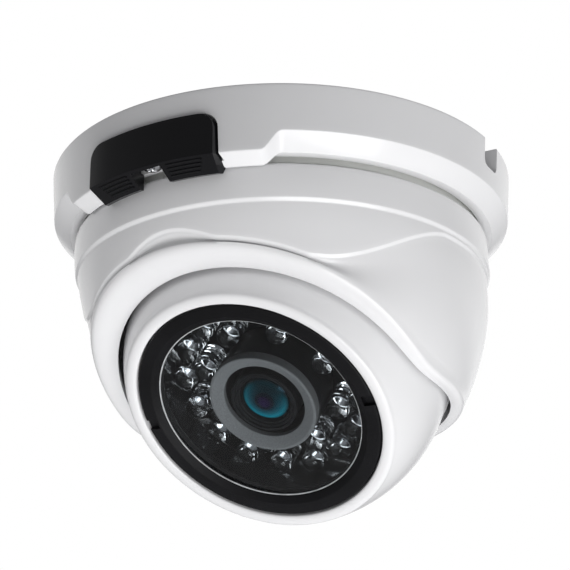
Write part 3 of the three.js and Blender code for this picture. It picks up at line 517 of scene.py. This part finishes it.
PLATE_R = BORE - 2.7
disc = [(0, -0.02), (PLATE_R - 0.4, -0.02), (PLATE_R - 0.1, -0.14), (PLATE_R, -0.4), (PLATE_R, -2.2),
    (PLATE_R - 0.2, -2.4), (0, -2.4)]
plate = outward(lathe("plate_disc", disc, 192))
turn5 = Matrix.Rotation(math.radians(5), 4, "Z")
cut(plate, outward(lathe("hole", [(0, -4), (9, -4), (9, 1), (0, 1)], 72,
    turn5 @ Matrix.Translation((14, 0, 0)))))
cut(plate, box_mesh("groove", (14, -3, -4), (50, 3, 1), turn5))
for deg in (30, 150, 270):
    x, y = (RING_R - 17) * math.cos(math.radians(deg)), (RING_R - 17) * math.sin(math.radians(deg))
    spot = Matrix.Translation((x, y, 0))
    cut(plate, outward(lathe("h", [(0, -4), (4.1, -4), (4.1, -2.1), (2.3, -0.9), (2.3, 1), (0, 1)], 40,
        spot)))
bevel(plate, 0.15, 40, 2)
dress(plate, "base", "plated_steel", "mounting_plate")
hook = [(PLATE_R - 1.5, -2.3), (PLATE_R - 0.05, -2.3), (PLATE_R - 0.05, -4.8), (PLATE_R + 2.3, -4.8),
    (PLATE_R + 2.3, -6.2), (PLATE_R - 1.5, -6.2)]
for k, deg in enumerate((0, 120, 240)):
    o = sector("plate_hook_%d" % (k + 1), hook, 180 + deg - 12.8, 180 + deg + 12.8, 16)
    bevel(o, 0.25, 40, 3)
    dress(o, "base", "plated_steel")

# ---- turntable ring above the dome --------------------------------------------------------------
table = fillet([
    (BAND_R - 9.2, BAND_TOP + 0.3), (LIP_R - 2.5, BAND_TOP + 0.3), (LIP_R - 2.5, LIP_Z + 2.8),
        (BORE - 0.3, LIP_Z + 2.8),
    (BORE - 0.3, LIP_Z + 4.4), (LIP_R - 4.4, LIP_Z + 4.4), (LIP_R - 4.4, BAND_TOP + 1.9),
        (BAND_R - 9.2, BAND_TOP + 1.9),
], 0.2, 3)
dress(outward(lathe("turntable_ring", table, 160)), "dome", SLOTS["turntable"], "turntable")

# ---- latch: curved black cover with a chamfered foot, ribs and a screw pocket -------------------
LATCH_R = -LATCH_LO[1]
LATCH_FOOT = LATCH_LO[2]
LATCH_EDGE = BOSS_EDGE - 0.6
latch_profile = [
    (LATCH_R - 0.02, LATCH_HI[2]), (LATCH_R - 0.02, LATCH_EDGE), (LIP_R + 0.6, LATCH_FOOT),
        (BAND_R + 0.45, LATCH_FOOT + 0.3),
    (BAND_R + 0.45, LIP_Z - 0.3), (SKIRT_R - 2.8, LIP_Z - 0.3), (SKIRT_R - 2.8, LATCH_HI[2]),
]
latch = outward(lathe("latch_body", latch_profile, 320))
w = LATCH_HI[0] - 0.05
t = LATCH_HI[2] - 0.02
round_top = [(w - 3.0 + 3.0 * math.sin(a), t - 3.0 + 3.0 * math.cos(a)) for a in np.linspace(math.pi / 2,
    0, 9)]
outline = [(-w + 1.5, LATCH_FOOT - 1), (w - 1.5, LATCH_FOOT - 1), (w, LATCH_EDGE), *round_top,
           *[(-x, z) for x, z in reversed(round_top)], (-w, LATCH_EDGE)]
cut(latch, prism("outline", outline, -60, -25), "INTERSECT")
cut(latch, box_mesh("pocket", (-3.4, -(LATCH_R - 0.7), LATCH_FOOT - 1), (3.4, -30, BOSS_EDGE + 1.4)))
bevel(latch, 0.4, 35, 4)
dress(latch, "latch", "black_gloss", "latch_cover")

foot_dir = np.array([LIP_R + 0.6 - LATCH_R, LATCH_FOOT - LATCH_EDGE])
foot_len = np.linalg.norm(foot_dir)
foot_dir /= foot_len
normal = np.array([-foot_dir[1], foot_dir[0]])
if normal[1] > 0:
    normal = -normal
ribs = []
for sgn in (-1, 1):
    for row in range(4):
        verts, faces = [], []
        s = foot_len * (0.2 + 0.19 * row)
        angles = [math.radians(a) for a in np.linspace(5.6, 14.6 - 0.4 * row, 14)]
        for a in angles:
            for ds, h in ((-0.26, -0.12), (-0.16, 0.2), (0.16, 0.2), (0.26, -0.12)):
                r, z = np.array([LATCH_R, LATCH_EDGE]) + foot_dir * (s + ds) + normal * h
                verts.append((sgn * r * math.sin(a), -r * math.cos(a), z))
        n = len(angles)
        for i in range(n - 1):
            for k in range(4):
                faces.append((i * 4 + k, i * 4 + (k + 1) % 4, (i + 1) * 4 + (k + 1) % 4, (i + 1) * 4 + k))
        faces += [(0, 1, 2, 3), tuple(4 * (n - 1) + k for k in (3, 2, 1, 0))]
        ribs.append(outward(make("rib", verts, faces)))
dress(join("latch_ribs", ribs), "latch", "black_satin")

# ---- lock screw: pan head with a cross recess ---------------------------------------------------


def screw(name, place, head_r, head_h, shank_r, shank_len):
    """Head's top at z = 0 facing +Z, the shank going down."""
    crown = head_h * 0.28
    prof = [(0, 0)] + [(head_r * x / 6, -crown * (x / 6) ** 2) for x in range(1, 6)] + [
        (head_r - 0.08, -crown - 0.02), (head_r, -crown - 0.12), (head_r, -head_h + 0.08),
            (head_r - 0.08, -head_h),
        (shank_r, -head_h), (shank_r, -shank_len + 0.3), (shank_r - 0.3, -shank_len), (0, -shank_len)]
    o = outward(lathe(name, prof, 48, place))
    long, thin = head_r * 0.62, head_r * 0.15
    for a in (0, math.pi / 2):
        turn = place @ Matrix.Rotation(a + 0.5, 4, "Z")
        cut(o, box_mesh("c", (-long, -thin, -head_h * 0.6), (long, thin, 1), turn))
    return o


LOCK_LO, LOCK_HI = corners("lock_screw")
lock_x, lock_y = (LOCK_LO + LOCK_HI)[:2] / 2
flip = Matrix.Translation((lock_x, lock_y, LOCK_LO[2])) @ Matrix.Rotation(math.pi, 4, "X")
lock = screw("lock_screw_steel", flip, 1.8, 1.3, 0.9, LOCK_HI[2] - LOCK_LO[2])
dress(lock, "lock", "screw_steel", "lock_screw")

# ---- turning dome cover -------------------------------------------------------------------------


def axis_shift(z):
    return SETBACK * (1 - smooth(BAND_TOP - 18, BAND_TOP - 2, z))


def cover_radius(z):
    below = max(0.0, BAND_FOOT - z) / (BAND_FOOT - BALL_Z)
    step = 1 - smooth(BAND_FOOT - 0.75, BAND_FOOT + 0.1, z)
    return BAND_R - 0.45 * step - 4.6 * 0.55 * below * below


def rim_elevation(az):
    across = math.sin(math.radians(33)) * math.cos(az)
    up = math.cos(math.radians(33))
    size = math.hypot(across, up)
    tilted = math.acos(min(1, math.cos(math.radians(70)) / size)) - math.atan2(up, across)
    level = -math.radians(18)
    soft = math.radians(3)
    return level + soft * math.log(1 + math.exp((tilted - level) / soft))


def wave_height(az):
    dip = 9.3 * (1 - smooth(math.radians(42), math.radians(85), abs(az)))
    return BAND_FOOT - 1 - dip + 6.8 * math.exp(-((az / math.radians(20)) ** 2))


def cover_profile(az):
    rim = rim_elevation(az)
    rim_r, rim_z = SOCKET_R * math.cos(rim), BALL_Z + SOCKET_R * math.sin(rim)
    front = smooth(-0.26, 0.28, rim)
    edge_z = rim_z + 0.8 + 1.2 * front
    edge_r = cover_radius(edge_z)
    wave = max(wave_height(az), edge_z + 1.0)
    top_in = BAND_R - 9.5
    top = BAND_TOP - 0.3
    pts = [(top_in, top), (BAND_R - 0.7, top)]
    pts += [(BAND_R - 0.7 + 0.68 * math.sin(a), top - 0.7 + 0.7 * math.cos(a)) for a in np.linspace(0.2,
        1.57, 6)]
    pts += [(BAND_R - 0.02, z) for z in np.linspace(BAND_TOP - 2, BAND_FOOT + 0.5, 4)]
    for z in np.linspace(BAND_FOOT + 0.3, BAND_FOOT - 0.85, 10):
        pts.append((cover_radius(z) - 0.02, z))
    above = np.linspace(BAND_FOOT - 0.9, wave + 0.3,
        8) if wave + 0.3 < BAND_FOOT - 0.9 else np.linspace(BAND_FOOT - 0.9, BAND_FOOT - 0.91, 8)
    pts += [(cover_radius(z) - 0.02, z) for z in above]
    start = above[-1]
    for i in range(1, 9):
        t = i / 8
        z = start - 0.8 * t
        pts.append((cover_radius(z) - 0.02 - 0.42 * smooth(0, 1, t), z))
    z0 = start - 0.8
    deep = 0.42
    steps = 18
    for i in range(1, steps + 1):
        t = i / steps
        z = z0 + (edge_z - z0) * t
        valley = 0.55 * front * math.sin(math.pi * min(1, t)) ** 1.5
        pts.append((cover_radius(z) - 0.02 - deep * (1 - smooth(0.25, 1, t)) - valley, z))
    bend = (edge_r - 0.3, rim_z - 0.9)
    for i in range(1, 13):
        t = i / 12
        pts.append(((1 - t) ** 2 * (edge_r - 0.02) + 2 * t * (1 - t) * bend[0] + t * t * rim_r,
                    (1 - t) ** 2 * edge_z + 2 * t * (1 - t) * bend[1] + t * t * rim_z))
    for rise in (1.5, 3, 5):
        e = rim + math.radians(rise)
        pts.append((SOCKET_R * math.cos(e), BALL_Z + SOCKET_R * math.sin(e)))
    inner = min(BAND_FOOT - 1, BALL_Z + SOCKET_R * math.sin(rim + math.radians(5)) + 3)
    pts += [(cover_radius(inner) - 2.4, inner), (BAND_R - 2.4, BAND_FOOT + 1),
        (BAND_R - 2.4, BAND_TOP - 2), (top_in, BAND_TOP - 2)]
    return pts


cover = outward(swept("dome_cover_shell", cover_profile, 320, shift=axis_shift, angle=60))
dress(cover, "dome", "white_shell", "dome_cover")

# ---- eyeball shells -----------------------------------------------------------------------------
OPEN_R = BEZEL_R + 0.3
shelf = GLASS_FRONT - 1.2 - 0.3 - 0.7 - 0.3
front_prof = [(OPEN_R - 1.8, shelf), (OPEN_R, shelf), (OPEN_R, FACE - 0.1)]
front_prof += [(OPEN_R + 1.1 - 1.1 * math.cos(a),
    FACE - 0.1 + 0.5 * math.sin(a)) for a in np.linspace(0.2, 1.57, 6)]
sx, sz = arc(BALL_R, at(BALL_R, FACE - 0.3), at(BALL_R, FACE - 0.3), 1)[0]
ax, az_ = front_prof[-1]
front_prof += [((1 - t) ** 2 * ax + 2 * t * (1 - t) * (sx - 0.2) + t * t * sx,
    (1 - t) ** 2 * az_ + 2 * t * (1 - t) * az_ + t * t * sz)
               for t in np.linspace(0.15, 0.9, 6)]
front_prof += arc(BALL_R - 0.02, at(BALL_R, FACE - 0.35), at(BALL_R, -3.7), 48)
front_prof += [(BALL_R - 0.12, -4.0)]
front_prof += arc(BALL_R - 2, at(BALL_R - 2, -4.0), at(BALL_R - 2, shelf - 1.7), 16)
front_prof += [(OPEN_R - 1.8, shelf - 1.7)]
dress(outward(lathe("ball_front", front_prof, 256, EYE, 50)), "eyeball", "white_shell", "ball_front_shell")

REAR = 24.0
REAR_TOP = -5.4
rear_prof = [(BALL_R - 0.12, REAR_TOP)] + arc(BALL_R - 0.02, at(BALL_R, REAR_TOP - 0.2),
    at(BALL_R, -REAR + 0.4), 40)
rear_prof += [(math.sqrt(BALL_R ** 2 - REAR ** 2) - 0.6, -REAR), (6.3, -REAR), (6.3, -REAR + 2)]
rear_prof += arc(BALL_R - 2, at(BALL_R - 2, -REAR + 2), at(BALL_R - 2, REAR_TOP), 20)
rear = outward(lathe("ball_rear", rear_prof, 224, EYE, 50))
SCREW_R = BALL_R - 5.9
SEAT = 1.9 - math.sqrt((BALL_R - 0.6) ** 2 - (SCREW_R + 2.3) ** 2)
SPOTS = [Matrix.Rotation(math.radians(90 + 120 * k), 4, "Z") @ Matrix.Translation((SCREW_R, 0,
    0)) for k in range(3)]
bosses = []
for k, spot in enumerate(SPOTS):
    hole = outward(lathe("h", [(0, SEAT), (2.6, SEAT), (2.6, -40), (0, -40)], 40, EYE @ spot))
    cut(rear, hole)
    ball = outward(lathe("b", arc(BALL_R - 0.5, 0, 180, 48), 96, EYE))
    tube = [(1.5, REAR_TOP - 0.1), (3.5, REAR_TOP - 0.1), (3.5, -20), (2.6, -20), (2.6, SEAT), (1.5, SEAT)]
    bosses.append(cut(outward(lathe("t", tube, 40, EYE @ spot)), ball, "INTERSECT"))
    place = EYE @ spot @ Matrix.Translation((0, 0, SEAT - 1.9)) @ Matrix.Rotation(math.pi, 4, "X")
    name = "shell_screw_%d" % (k + 1)
    dress(screw(name + "_steel", place, 2.28, 1.6, 1.18, 5.6 - SEAT), "eyeball", "screw_steel", name)
dress(join("rear_bosses", bosses), "eyeball", "white_shell")
dress(rear, "eyeball", "white_shell", "ball_rear_shell")
BACK = -REAR
bush_prof = fillet([
    (1.8, BACK + 2.3, 0.1), (7.6, BACK + 2.3, 0.2), (7.6, BACK + 3.9, 0.3), (1.8, BACK + 3.9, 0.2),
], 0.2, 3)
neck_prof = fillet([
    (1.8, BACK + 3.0, 0), (6.0, BACK + 3.0, 0), (6.0, BACK - 0.95, 0.5), (3.9, BACK - 2.2, 0.25),
        (3.9, BACK - 2.5, 0.15),
    (3.35, BACK - 2.75, 0.15), (3.0, BACK - 3.45, 0.3), (1.8, BACK - 3.45, 0.25),
], 0.2, 4)
bush_a = outward(lathe("bush_flange", bush_prof, 96, EYE))
bush_b = outward(lathe("bush_neck", neck_prof, 96, EYE))
dress(join("cable_bush_rubber", [bush_a, bush_b]), "swivel", "black_rubber", "cable_bush")

# ---- bezel with its two spanner slots -----------------------------------------------------------
bez = [
    (BEZEL_IN, shelf + 0.3, 0), (BEZEL_R, shelf + 0.3, 0.1), (BEZEL_R, FACE - 0.02, 0.45),
        (BEZEL_IN + 0.1, FACE - 0.02, 0.3),
    (BEZEL_IN - 1.35, FACE - 1.0, 0.08), (BEZEL_IN - 1.1, FACE - 1.15, 0.03), (BEZEL_IN, FACE - 1.15, 0),
]
bezel_ring = outward(lathe("bezel_satin", fillet(bez, 0.1, 4), 224, EYE, 50))
for side in (0, 1):
    turn = EYE @ Matrix.Rotation(math.radians(BEZEL_SLOT_ANGLE + 180 * side), 4, "Z")
    cut(bezel_ring, box_mesh("slot", (BEZEL_IN + 0.45, -1.1, FACE - 0.9), (BEZEL_R + 1, 1.1, FACE + 1), turn))
bevel(bezel_ring, 0.12, 40, 2)
dress(bezel_ring, "eyeball", "black_satin", "bezel_ring")

# ---- glass and the dark well behind it ----------------------------------------------------------
glass_r = BEZEL_IN - 0.5
back = GLASS_FRONT - 1.2
disc = [(0, GLASS_FRONT)] + [(glass_r - 0.4, GLASS_FRONT), (glass_r - 0.12, GLASS_FRONT - 0.1),
    (glass_r, GLASS_FRONT - 0.35),
                             (glass_r, back + 0.1), (glass_r - 0.1, back), (0, back)]
dress(outward(lathe("front_glass_disc", disc, 160, EYE)), "eyeball", "clear_glass", "front_glass")
edge_r = BEZEL_IN - 1.35
# a thin grey ring on the glass front at the bezel's inner edge: a painted highlight standing in for the bright
# line of the glass edge
rim = fillet([(edge_r - 0.2, GLASS_FRONT + 0.02), (edge_r + 0.1, GLASS_FRONT + 0.02),
    (edge_r + 0.1, GLASS_FRONT + 0.2), (edge_r - 0.1, GLASS_FRONT + 0.2)], 0.06, 3)
highlight_ring = outward(lathe("glass_edge_highlight_ring", rim, 160, EYE))
dress(highlight_ring, "eyeball", "clear_glass")
highlight_ring.data.materials[0] = shader("glass_edge_painted_highlight", (0.5, 0.52, 0.53), 0.3, grain=0.3, scale=500, bump=0.3)

house_in = glass_r - 0.7
lamp_tip = FACE - 6.1
lamp_back = lamp_tip - 7.7
board_front = lamp_back - 0.3
board_back = board_front - 1.6
floor_z = board_back - 0.3 - 1.6
well = fillet([
    (house_in, shelf, 0.15), (OPEN_R - 2.1, shelf, 0.1), (OPEN_R - 2.1, floor_z, 0.4),
        (house_in - 3, floor_z, 0.2),
    (house_in - 3, floor_z + 1.6, 0.2), (house_in, floor_z + 1.6, 0.2), (house_in, shelf - 6.3, 0.0),
        (house_in + 0.12, shelf - 6.2, 0.0),
    (house_in + 0.12, shelf - 5.9, 0.0), (house_in, shelf - 5.8, 0.0),
], 0.2, 4)
dress(outward(lathe("lamp_well", well, 160, EYE)), "eyeball", "black_gloss", "lamp_housing")
board = [(8.8, board_back), (house_in - 0.3, board_back), (house_in - 0.3, board_front), (8.8, board_front)]
board_o = outward(lathe("lamp_board_disc", fillet(board, 0.08, 2), 128, EYE))
dress(board_o, "eyeball", "lamp_board", "lamp_board")

# ---- lamps: clear domes over a reflector cup, chip and leads ------------------------------------
LAMP_R = 2.35


def dome_profile():
    s = lamp_tip - LAMP_R
    p = [(0, lamp_back), (LAMP_R + 0.1, lamp_back), (LAMP_R + 0.13, lamp_back + 0.1),
        (LAMP_R + 0.13, lamp_back + 0.85),
         (LAMP_R + 0.05, lamp_back + 0.98), (LAMP_R - 0.02, lamp_back + 1.05)]
    p += [((LAMP_R - 0.02) * math.cos(a), s + (LAMP_R - 0.02) * math.sin(a)) for a in np.linspace(0,
        math.pi / 2, 14)][:-1]
    return p + [(0, lamp_tip - 0.02)]


def inner_parts(place):
    base = lamp_back + 0.6
    cup_z = lamp_tip - 3.6
    cup = [(0, cup_z - 0.9), (0.62, cup_z - 0.9), (0.95, cup_z), (0.82, cup_z), (0.42, cup_z - 0.45),
        (0, cup_z - 0.45)]
    bits = [outward(lathe("cup", cup, 20, place))]
    bits.append(box_mesh("die", (-0.22, -0.22, cup_z - 0.45), (0.22, 0.22, cup_z - 0.2), place))
    bits.append(box_mesh("post", (-0.5, -0.25, base), (0.25, 0.25, cup_z - 0.85), place))
    bits.append(box_mesh("anvil", (-1.3, -0.25, cup_z - 2.2), (0.5, 0.25, cup_z - 1.4), place))
    bits.append(box_mesh("lead", (0.95, -0.25, base), (1.4, 0.25, cup_z - 0.35), place))
    bits.append(box_mesh("flag", (0.8, -0.25, cup_z - 0.9), (1.5, 0.25, cup_z - 0.2), place))
    return bits


lamp_mesh = None
bits_mesh = None
outer = [(OUTER_CIRCLE, LAMP_PHASE + 360 / OUTER_LAMPS * k) for k in range(OUTER_LAMPS)]
half_step = 180 / OUTER_LAMPS
inner = [(INNER_CIRCLE, LAMP_PHASE + half_step + 360 / INNER_LAMPS * k) for k in range(INNER_LAMPS)]
spots = outer + inner
for i, (r, deg) in enumerate(spots):
    name = "lamp_%02d" % (i + 1)
    turn = EYE @ Matrix.Rotation(math.radians(deg), 4, "Z") @ Matrix.Translation((r, 0, 0)) \
        @ Matrix.Rotation(math.radians(47 * i), 4, "Z")
    if lamp_mesh is None:
        body = outward(lathe("lens_dome", dome_profile(), 40))
        inside = join("lamp_inside", inner_parts(REST))
        lamp_mesh, bits_mesh = body.data, inside.data
        bpy.data.objects.remove(body)
        bpy.data.objects.remove(inside)
        lamp_mesh.materials.append(MAT["clear_epoxy"])
        bits_mesh.materials.append(MAT["screw_steel"])
    place = Matrix.Translation(turn.to_translation() / 1000) @ turn.to_3x3().to_4x4()
    dome = bpy.data.objects.new(name + "_dome", lamp_mesh)
    leads = bpy.data.objects.new(name + "_leads", bits_mesh)
    for o in (dome, leads):
        bpy.context.scene.collection.objects.link(o)
        o.matrix_world = place
        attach(o, "eyeball")
    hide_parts(name)

# ---- lens: foam shield, stepped barrel, coated front element ------------------------------------
front_z = back - 0.3
foam = fillet([(8.4, front_z - 2.2, 0), (11.05, front_z - 2.2, 0), (11.1, front_z, 0.3),
    (10.5, front_z, 0.3), (8.4, front_z - 1.1, 0.2)], 0.3, 5)
dress(outward(lathe("lens_foam", foam, 128, EYE)), "eyeball", "grey_foam", "lens_shield")
tube = fillet([(8.45, board_front + 0.3), (11.05, board_front + 0.3), (11.05, front_z - 2.25),
    (8.45, front_z - 2.25)], 0.1, 2)
dress(outward(lathe("lens_tube", tube, 128, EYE)), "eyeball", "black_satin")

LENS_Z = FACE - 3.5
seat = LENS_Z - 1.4
barrel = [
    (3.6, LENS_Z - 15.6, 0), (6.0, LENS_Z - 15.6, 0.1), (6.0, LENS_Z - 7, 0), (6.88, LENS_Z - 7, 0.2),
        (6.88, LENS_Z - 0.02, 0.25),
    (6.3, LENS_Z - 0.02, 0.08), (6.2, LENS_Z - 0.45, 0.05), (5.75, LENS_Z - 0.45, 0.08),
        (5.65, LENS_Z - 0.9, 0.05), (5.3, LENS_Z - 0.9, 0.06),
    (5.12, seat, 0.03), (5.12, seat - 1.6, 0), (3.6, seat - 1.6, 0),
]
dress(outward(lathe("lens_barrel_rings", fillet(barrel, 0.05, 3), 128, EYE)), "lens", "black_satin",
    "lens_barrel")
curve = (4.8 ** 2 + 1.2 ** 2) / 2.4
tip = [(4.8 * math.sin(0) + curve * math.sin(a),
    seat + 1.2 - 0.02 - curve * (1 - math.cos(a))) for a in np.linspace(0, math.asin(4.8 / curve), 24)]
element = [tip[0]] + tip[1:] + [(4.78, seat - 1.2), (0, seat - 1.2)]
dress(outward(lathe("front_element_glass", element, 96, EYE)), "lens", "coated_glass", "lens_front_element")

# ---- carried-over pieces take their slot's material ---------------------------------------------
for name, node in frame["nodes"].items():
    if not node.hide_render:
        node.data.materials.clear()
        node.data.materials.append(MAT[SLOTS[name]])

# ---- studio -------------------------------------------------------------------------------------
scene = bpy.context.scene
scene.view_settings.view_transform = "Standard"
world = bpy.data.worlds.new("studio")
scene.world = world
world.use_nodes = True
nt = world.node_tree
bg = nt.nodes["Background"]
tex = nt.nodes.new("ShaderNodeTexCoord")
sep = nt.nodes.new("ShaderNodeSeparateXYZ")
nt.links.new(tex.outputs["Generated"], sep.inputs["Vector"])
ramp = nt.nodes.new("ShaderNodeValToRGB")
bands = ramp.color_ramp.elements
bands[0].position, bands[0].color = 0.06, (0.16, 0.16, 0.165, 1)
bands[1].position, bands[1].color = 0.20, (1, 1, 1, 1)
for spot, value in ((0.56, 1.0), (0.72, 0.16)):
    bands.new(spot).color = (value, value, value, 1)
nt.links.new(sep.outputs["Z"], ramp.inputs["Fac"])
AZ, EL = math.radians(32.8), math.radians(-22.3)
side = nt.nodes.new("ShaderNodeVectorMath")
side.operation = "DOT_PRODUCT"
side.inputs[1].default_value = (-math.sin(AZ), math.cos(AZ), 0)
nt.links.new(tex.outputs["Generated"], side.inputs[0])
far = nt.nodes.new("ShaderNodeMapRange")
far.interpolation_type = "SMOOTHSTEP"
far.inputs["From Min"].default_value, far.inputs["From Max"].default_value = 0.0, 0.75
nt.links.new(side.outputs["Value"], far.inputs["Value"])
blend = nt.nodes.new("ShaderNodeMix")
blend.data_type = "RGBA"
blend.inputs["A"].default_value = (0.21, 0.21, 0.214, 1)
nt.links.new(far.outputs["Result"], blend.inputs["Factor"])
nt.links.new(ramp.outputs["Color"], blend.inputs["B"])
nt.links.new(blend.outputs["Result"], bg.inputs["Color"])
bg.inputs["Strength"].default_value = 1.0

floor = bpy.data.meshes.new("floor")
floor.from_pydata([(-4, -4, -0.7), (4, -4, -0.7), (4, 4, -0.7), (-4, 4, -0.7)], [], [(0, 1, 2, 3)])
floor_o = bpy.data.objects.new("floor", floor)
scene.collection.objects.link(floor_o)
floor.materials.append(shader("floor_pale", (0.74, 0.74, 0.745), 0.7, grain=0.01, scale=3))


def softbox(name, az, el, dist, size, power, mirrored):
    a, e = math.radians(az), math.radians(el)
    away = Vector((math.sin(a) * math.cos(e), -math.cos(a) * math.cos(e), math.sin(e)))
    light = bpy.data.lights.new(name, "AREA")
    light.shape, light.size, light.size_y = "RECTANGLE", size[0], size[1]
    light.energy = power
    o = bpy.data.objects.new(name, light)
    scene.collection.objects.link(o)
    o.location = Vector((0, 0, -0.035)) + away * dist
    o.rotation_mode = "QUATERNION"
    o.rotation_quaternion = away.to_track_quat("Z", "Y")
    o.visible_glossy = mirrored


softbox("key", 62, -48, 0.55, (0.45, 0.35), 1.55, True)
softbox("front", -25, -50, 0.60, (0.35, 0.25), 0.60, False)
softbox("side", 100, -8, 0.6, (0.25, 0.5), 0.90, False)
softbox("below", 60, -84, 0.55, (0.3, 0.3), 1.15, False)

cam = bpy.data.cameras.new("camera")
cam_o = bpy.data.objects.new("camera", cam)
scene.collection.objects.link(cam_o)
scene.camera = cam_o
back_dir = Vector((math.sin(AZ) * math.cos(EL), -math.cos(AZ) * math.cos(EL), math.sin(EL)))
right = Vector((math.cos(AZ), math.sin(AZ), 0))
upward = back_dir.cross(right)
target = (right * 0.8 - upward * 19.8) / 1000
cam.sensor_width, cam.lens = 36, 126.3
cam_o.location = target + back_dir * 0.415
cam_o.rotation_mode = "QUATERNION"
cam_o.rotation_quaternion = back_dir.to_track_quat("Z", "Y")
cam.clip_start, cam.clip_end = 0.01, 50
